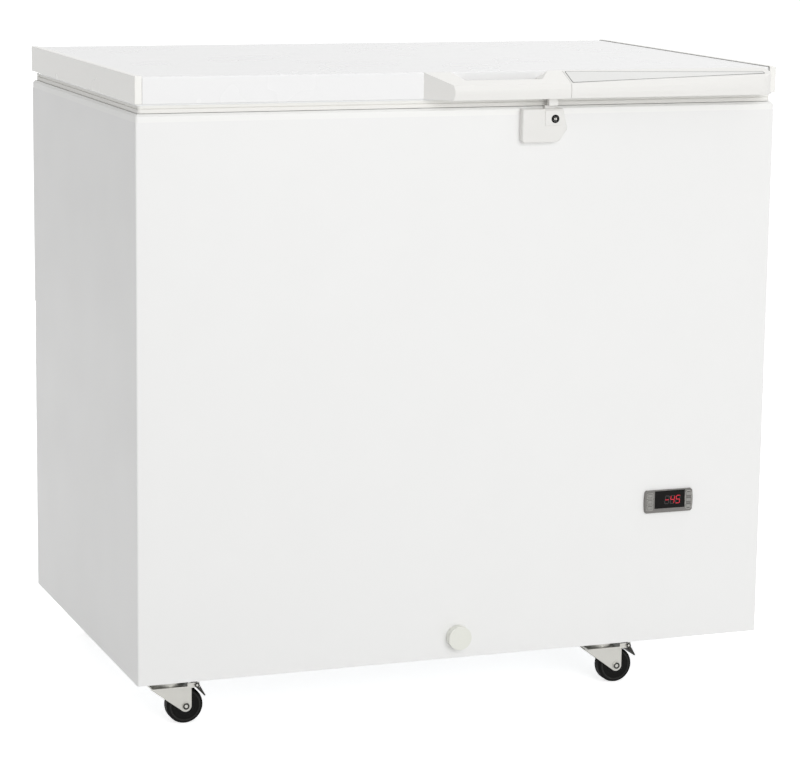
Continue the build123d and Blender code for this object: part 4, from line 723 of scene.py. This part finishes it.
@dataclass
class CasterTrim:
    """The casters' fine trim: race lips, the heads' dark rings of painted shade and painted dark reflection,
    and the wheels' hubs and painted highlight rings.
    """

    lip: list[tuple[float, float]] = field(
        default_factory=lambda: [
            (23.6 * MM, 4.2 * MM),
            (26.4 * MM, 3.4 * MM),
            (27.0 * MM, 1.6 * MM),
            (26.2 * MM, 0.2 * MM),
            (23.6 * MM, 0.0),
        ]
    )
    # Dark rings on the axle and pin heads: painted shade and painted dark reflection
    axle_shade_ring: list[tuple[float, float]] = field(
        default_factory=lambda: [
            (2.2 * MM, -0.1 * MM),
            (4.6 * MM, -0.1 * MM),
            (4.4 * MM, 0.5 * MM),
            (2.6 * MM, 0.5 * MM),
        ]
    )
    pin_shade_ring: list[tuple[float, float]] = field(
        default_factory=lambda: [
            (1.5 * MM, -0.1 * MM),
            (3.4 * MM, -0.1 * MM),
            (3.2 * MM, 0.5 * MM),
            (1.8 * MM, 0.5 * MM),
        ]
    )
    hub: list[tuple[float, float]] = field(
        default_factory=lambda: [
            (4.4 * MM, 0.0),
            (12.5 * MM, 0.0),
            (12.0 * MM, 0.5 * MM),
            (9.0 * MM, 0.8 * MM),
            (4.4 * MM, 0.8 * MM),
        ]
    )
    # The wheel's paler ring, a painted highlight
    ring: list[tuple[float, float]] = field(
        default_factory=lambda: [
            (19.2 * MM, 0.0),
            (21.4 * MM, 0.0),
            (21.0 * MM, 0.45 * MM),
            (19.6 * MM, 0.45 * MM),
        ]
    )
    trail: float = 23.0 * MM
    fork_half: float = 12.5 * MM
    head: float = 2.0 * MM
    lip_rise: float = 0.6 * MM

    def build(self) -> None:
        """Makes the trim of all four casters."""
        for end in ("front", "rear"):
            for side in ("left", "right"):
                self.trim(f"{end}_{side}")
        LOG.info("built the casters' trim")

    def trim(self, corner: str) -> None:
        """Makes one caster's trim.

        Args:
            corner: which caster, such as front_left.
        """
        low, high = (Vector(v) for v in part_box(f"caster_wheel_{corner}"))
        wheel, half = (low + high) / 2, (high.y - low.y) / 2
        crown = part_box(f"caster_fork_{corner}")[1][2]
        top = Vector((wheel.x - self.trail, wheel.y, crown + self.lip_rise))
        lip = turned(self.lip, Vector((0, 0, 1)), top, 64)
        smooth_rounds(keep(lip, f"race_lip_{corner}", "cabinet", ZINC_PLATE))
        fork, tread = f"fork_{corner}", f"wheel_{corner}"
        for name, way in (("a", -1), ("b", 1)):
            out = Vector((0, way, 0))
            # The heads' dark rings are painted shade and painted dark reflection
            ring = turned(self.axle_shade_ring, out, wheel + out * (self.fork_half + self.head), 32)
            smooth_rounds(keep(ring, f"axle_shade_ring_{corner}_{name}", fork, STEEL_PAINTED_DARK_REFLECTION))
            if corner.startswith("front"):
                ring = turned(self.pin_shade_ring, out, self.pin_head(corner, way), 32)
                smooth_rounds(keep(ring, f"pin_shade_ring_{corner}_{name}", fork, STEEL_PAINTED_DARK_REFLECTION))
            hub = turned(self.hub, out, wheel + out * half, 48)
            smooth_rounds(keep(hub, f"wheel_hub_{corner}_{name}", tread, BLACK_ABS))
            # A paler ring on the wheel's side: painted highlight
            ring = turned(self.ring, out, wheel + out * half, 64)
            smooth_rounds(keep(ring, f"wheel_highlight_ring_{corner}_{name}", tread, RUBBER_PAINTED_HIGHLIGHT))

    def pin_head(self, corner: str, way: int) -> Vector:
        """The middle of the brake pin's head, which is the fork's outermost face.

        Args:
            corner: which caster, such as front_left.
            way: -1 for the front head, 1 for the rear one.

        Returns:
            The point, in metres.
        """
        fork = f"caster_fork_{corner}"
        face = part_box(fork)[0 if way < 0 else 1][1]
        head = [v.co for v in frame["nodes"][fork].data.vertices if abs(v.co.y - face) < self.head / 4]
        middle_x = (min(v.x for v in head) + max(v.x for v in head)) / 2
        middle_z = (min(v.z for v in head) + max(v.z for v in head)) / 2
        return Vector((middle_x, face, middle_z))


@dataclass
class RearWashers:
    """The thin washers under the heads of the rear cover's screws."""

    outer: float = 4.9 * MM
    inner: float = 2.0 * MM
    rim: float = 0.3 * MM
    thick: float = 0.5 * MM
    inset: float = 8.0 * MM

    def build(self) -> None:
        """Makes a washer under each head on the rear cover's corners."""
        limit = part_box("rear_cover")[1][2] + self.inset
        heads = [v.co for v in frame["nodes"]["rear_screws"].data.vertices if v.co.z < limit]
        sheet = min(v.y for v in heads)
        profile = [(self.inner, 0), (self.outer, 0), (self.outer, self.rim), (self.inner, self.thick)]
        for side, x in (("left", min(v.x for v in heads)), ("right", max(v.x for v in heads))):
            for end, z in (("lower", min(v.z for v in heads)), ("upper", max(v.z for v in heads))):
                near = [v for v in heads if abs(v.x - x) < self.outer * 2 and abs(v.z - z) < self.outer * 2]
                middle_x = (min(v.x for v in near) + max(v.x for v in near)) / 2
                middle_z = (min(v.z for v in near) + max(v.z for v in near)) / 2
                mesh = turned(profile, Vector((0, 1, 0)), Vector((middle_x, sheet, middle_z)), 32)
                smooth_rounds(keep(mesh, f"rear_washer_{side}_{end}", "cabinet", ZINC_PLATE))
        LOG.info("built the rear washers")


@dataclass
class Display:
    """The lit digits behind the controller's window."""

    reading: str = "-45"
    height: float = 10.8 * MM
    width: float = 5.6 * MM
    pitch: float = 8.4 * MM
    stroke: float = 0.95 * MM
    slant: float = 0.13
    proud: float = 0.08 * MM
    right_margin: float = 8.0 * MM
    drop: float = 0.8 * MM
    shortened: float = 0.12
    gloss: float = 0.3

    STROKES: ClassVar[dict[str, tuple[tuple[float, float], tuple[float, float]]]] = {
        "top": ((0, 1), (1, 1)),
        "upper_right": ((1, 1), (1, 0.5)),
        "lower_right": ((1, 0.5), (1, 0)),
        "bottom": ((0, 0), (1, 0)),
        "lower_left": ((0, 0), (0, 0.5)),
        "upper_left": ((0, 0.5), (0, 1)),
        "middle": ((0, 0.5), (1, 0.5)),
    }
    LIT: ClassVar[dict[str, tuple[str, ...]]] = {
        "-": ("middle",),
        "4": ("upper_left", "middle", "upper_right", "lower_right"),
        "5": ("top", "upper_left", "middle", "lower_right", "bottom"),
    }

    def glow(self, name: str, colour: str, strength: float) -> bpy.types.Material:
        """A glowing or sleeping segment's material.

        Args:
            name: the material's name.
            colour: its hex colour.
            strength: how strongly it glows.

        Returns:
            The new material.
        """
        material = bpy.data.materials.new(name)
        material.use_nodes = True
        shader = material.node_tree.nodes["Principled BSDF"]
        shader.inputs["Base Color"].default_value = linear(colour)
        shader.inputs["Roughness"].default_value = self.gloss
        shader.inputs["Emission Color"].default_value = linear(colour)
        shader.inputs["Emission Strength"].default_value = strength
        return material

    def bar(self, mesh: bmesh.types.BMesh, start: Vector, end: Vector) -> None:
        """Adds one segment: a flat bar with pointed ends.

        Args:
            mesh: the digits' mesh.
            start: one end, with x to the right and y up.
            end: the other end.
        """
        along = (end - start).normalized()
        across = Vector((-along.y, along.x)) * self.stroke / 2
        short = along * self.stroke * self.shortened
        first, last = start + short, end - short
        tip = along * self.stroke / 2
        upper = [first, first + tip + across, last - tip + across]
        lower = [last, last - tip - across, first + tip - across]
        mesh.faces.new([mesh.verts.new((p.x, 0, p.y)) for p in upper + lower])

    def build(self) -> None:
        """Makes the lit segments and the sleeping ones of every digit."""
        low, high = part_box("controller_window")
        right, middle = high.x - self.right_margin, (low.z + high.z) / 2 - self.drop
        for lit in (True, False):
            mesh = bmesh.new()
            for place, sign in enumerate(reversed(self.reading)):
                corner = Vector((right - self.width - place * self.pitch, middle - self.height / 2))
                for name, (start, end) in self.STROKES.items():
                    if (name in self.LIT[sign]) is not lit:
                        continue
                    ends = [
                        corner + Vector((x * self.width + y * self.height * self.slant, y * self.height))
                        for x, y in (start, end)
                    ]
                    self.bar(mesh, *ends)
            bmesh.ops.translate(mesh, vec=(0, low.y - self.proud, 0), verts=mesh.verts)
            name = "display_digits" if lit else "display_sleeping_segments"
            piece = keep(mesh, name, "cabinet", SMOKED_WINDOW)
            look = ("red_segments", "B01228", 0.8) if lit else ("sleeping_segments", "241A1A", 0.0)
            piece.data.materials.clear()
            piece.data.materials.append(self.glow(*look))
            skin = piece.modifiers.new("film", "SOLIDIFY")
            skin.thickness = self.proud / 2
        LOG.info("built the display")


@dataclass
class Studio:
    """The pale floor, the soft light and the camera."""

    width_px: float = 800.0
    focal_px: float = 2854.0
    place: tuple[float, float, float] = (-1.397, -3.772, 1.151)
    yaw: float = 20.48
    pitch: float = 10.54
    roll: float = 0.72
    sensor: float = 36.0
    sight: float = 100.0
    floor_reach: float = 30.0
    floor_lift: float = 0.7
    sky_light: float = 0.57
    aim: tuple[float, float, float] = (0.0, 0.0, 0.45)

    def floor(self) -> None:
        """Lays a wide pale floor that keeps the object's shadow."""
        mesh = bmesh.new()
        bmesh.ops.create_grid(mesh, x_segments=1, y_segments=1, size=self.floor_reach)
        data = bpy.data.meshes.new("floor")
        mesh.to_mesh(data)
        mesh.free()
        piece = bpy.data.objects.new("floor", data)
        bpy.context.scene.collection.objects.link(piece)
        piece.data.materials.append(self.floor_paper())

    def seen_rays(
        self, tree: bpy.types.NodeTree, kind: str, other: bpy.types.NodeSocket
    ) -> bpy.types.NodeSocket:
        """Tells the rays of a kind from the rest.

        Args:
            tree: the node tree.
            kind: the kind's name at the light path.
            other: rays that count as well.

        Returns:
            1 for such a ray, 0 for any other.
        """
        rays = add_node(tree, "ShaderNodeLightPath")
        both = {0: other, 1: rays.outputs[kind]}
        return add_node(tree, "ShaderNodeMath", {"operation": "MAXIMUM"}, links=both).outputs["Value"]

    def floor_paper(self) -> bpy.types.Material:
        """White paper, which the camera and reflections see as bright as the background.

        Returns:
            The floor's material.
        """
        material = bpy.data.materials.new("white_paper")
        material.use_nodes = True
        tree = material.node_tree
        tree.nodes.clear()
        paper = add_node(tree, "ShaderNodeBsdfDiffuse", values={"Color": linear("EAEAEA")})
        glow = {"Color": (1, 1, 1, 1), "Strength": self.floor_lift}
        lift = add_node(tree, "ShaderNodeEmission", values=glow)
        both = add_node(tree, "ShaderNodeAddShader")
        tree.links.new(paper.outputs["BSDF"], both.inputs[0])
        tree.links.new(lift.outputs["Emission"], both.inputs[1])
        camera_rays = add_node(tree, "ShaderNodeLightPath").outputs["Is Camera Ray"]
        seen = self.seen_rays(tree, "Is Glossy Ray", camera_rays)
        choice = add_node(tree, "ShaderNodeMixShader", links={"Fac": seen})
        tree.links.new(paper.outputs["BSDF"], choice.inputs[1])
        tree.links.new(both.outputs["Shader"], choice.inputs[2])
        add_node(tree, "ShaderNodeOutputMaterial", links={"Surface": choice.outputs["Shader"]})
        return material

    def sky(self) -> None:
        """Lights from all round, with a white background where the camera looks past the object."""
        world = bpy.data.worlds.new("studio")
        bpy.context.scene.world = world
        world.use_nodes = True
        tree = world.node_tree
        tree.nodes.clear()
        camera_rays = add_node(tree, "ShaderNodeLightPath").outputs["Is Camera Ray"]
        seen = self.seen_rays(tree, "Is Glossy Ray", camera_rays)
        clear = self.seen_rays(tree, "Is Transmission Ray", seen)
        strength = add_node(
            tree,
            "ShaderNodeMapRange",
            values={"To Min": self.sky_light, "To Max": 1.0},
            links={"Value": clear},
        )
        light = add_node(
            tree,
            "ShaderNodeBackground",
            values={"Color": (1, 1, 1, 1)},
            links={"Strength": strength.outputs["Result"]},
        )
        add_node(tree, "ShaderNodeOutputWorld", links={"Surface": light.outputs["Background"]})

    def lamp(
        self, name: str, place: tuple[float, float, float], target: Vector, size: float, watts: float
    ) -> None:
        """Hangs one square softbox.

        Args:
            name: the lamp's name.
            place: where it hangs, in metres.
            target: the point that it faces.
            size: the length of its sides, in metres.
            watts: its power.
        """
        data = bpy.data.lights.new(name, "AREA")
        data.size = size
        data.energy = watts
        box = bpy.data.objects.new(name, data)
        bpy.context.scene.collection.objects.link(box)
        box.location = place
        box.rotation_euler = (target - Vector(place)).to_track_quat("-Z", "Y").to_euler()

    def camera(self) -> None:
        """Stands the camera where the photograph was taken from."""
        data = bpy.data.cameras.new("camera")
        data.sensor_width = self.sensor
        data.lens = self.focal_px / self.width_px * data.sensor_width
        data.clip_end = self.sight
        camera = bpy.data.objects.new("camera", data)
        bpy.context.scene.collection.objects.link(camera)
        yaw, pitch, roll = (math.radians(a) for a in (self.yaw, self.pitch, self.roll))
        ahead = Vector((math.sin(yaw), math.cos(yaw), 0))
        right = Vector((math.cos(yaw), -math.sin(yaw), 0))
        up = Vector((0, 0, 1))
        look = ahead * math.cos(pitch) - up * math.sin(pitch)
        head = up * math.cos(pitch) + ahead * math.sin(pitch)
        side = right * math.cos(roll) + head * math.sin(roll)
        crown = head * math.cos(roll) - right * math.sin(roll)
        turn = Matrix((side, crown, -look)).transposed()
        camera.matrix_world = Matrix.Translation(self.place) @ turn.to_4x4()
        bpy.context.scene.camera = camera

    def build(self) -> None:
        """Sets up floor, light and camera."""
        self.floor()
        self.sky()
        middle = Vector(self.aim)
        self.lamp("key_softbox", (0.5, -4.4, 1.9), middle, 2.4, 75.0)
        self.lamp("top_softbox", (1.1, 0.2, 3.2), middle, 2.0, 21.0)
        # The rear lamp stays lower than the lid, so that it lights the back alone
        self.lamp("rear_softbox", (0.2, 3.4, 0.42), middle, 0.8, 24.0)
        self.camera()
        bpy.context.scene.view_settings.view_transform = "Standard"
        LOG.info("set up the studio")


def main() -> None:
    """Builds every class in order."""
    logging.basicConfig(level=logging.INFO)
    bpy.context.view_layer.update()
    Solids().dress()
    HandlePlate().build()
    CapJointShade().build()
    LockFace().build()
    KeyRims().build()
    Display().build()
    CasterTrim().build()
    RearWashers().build()
    Studio().build()


if __name__ == "__main__":
    main()
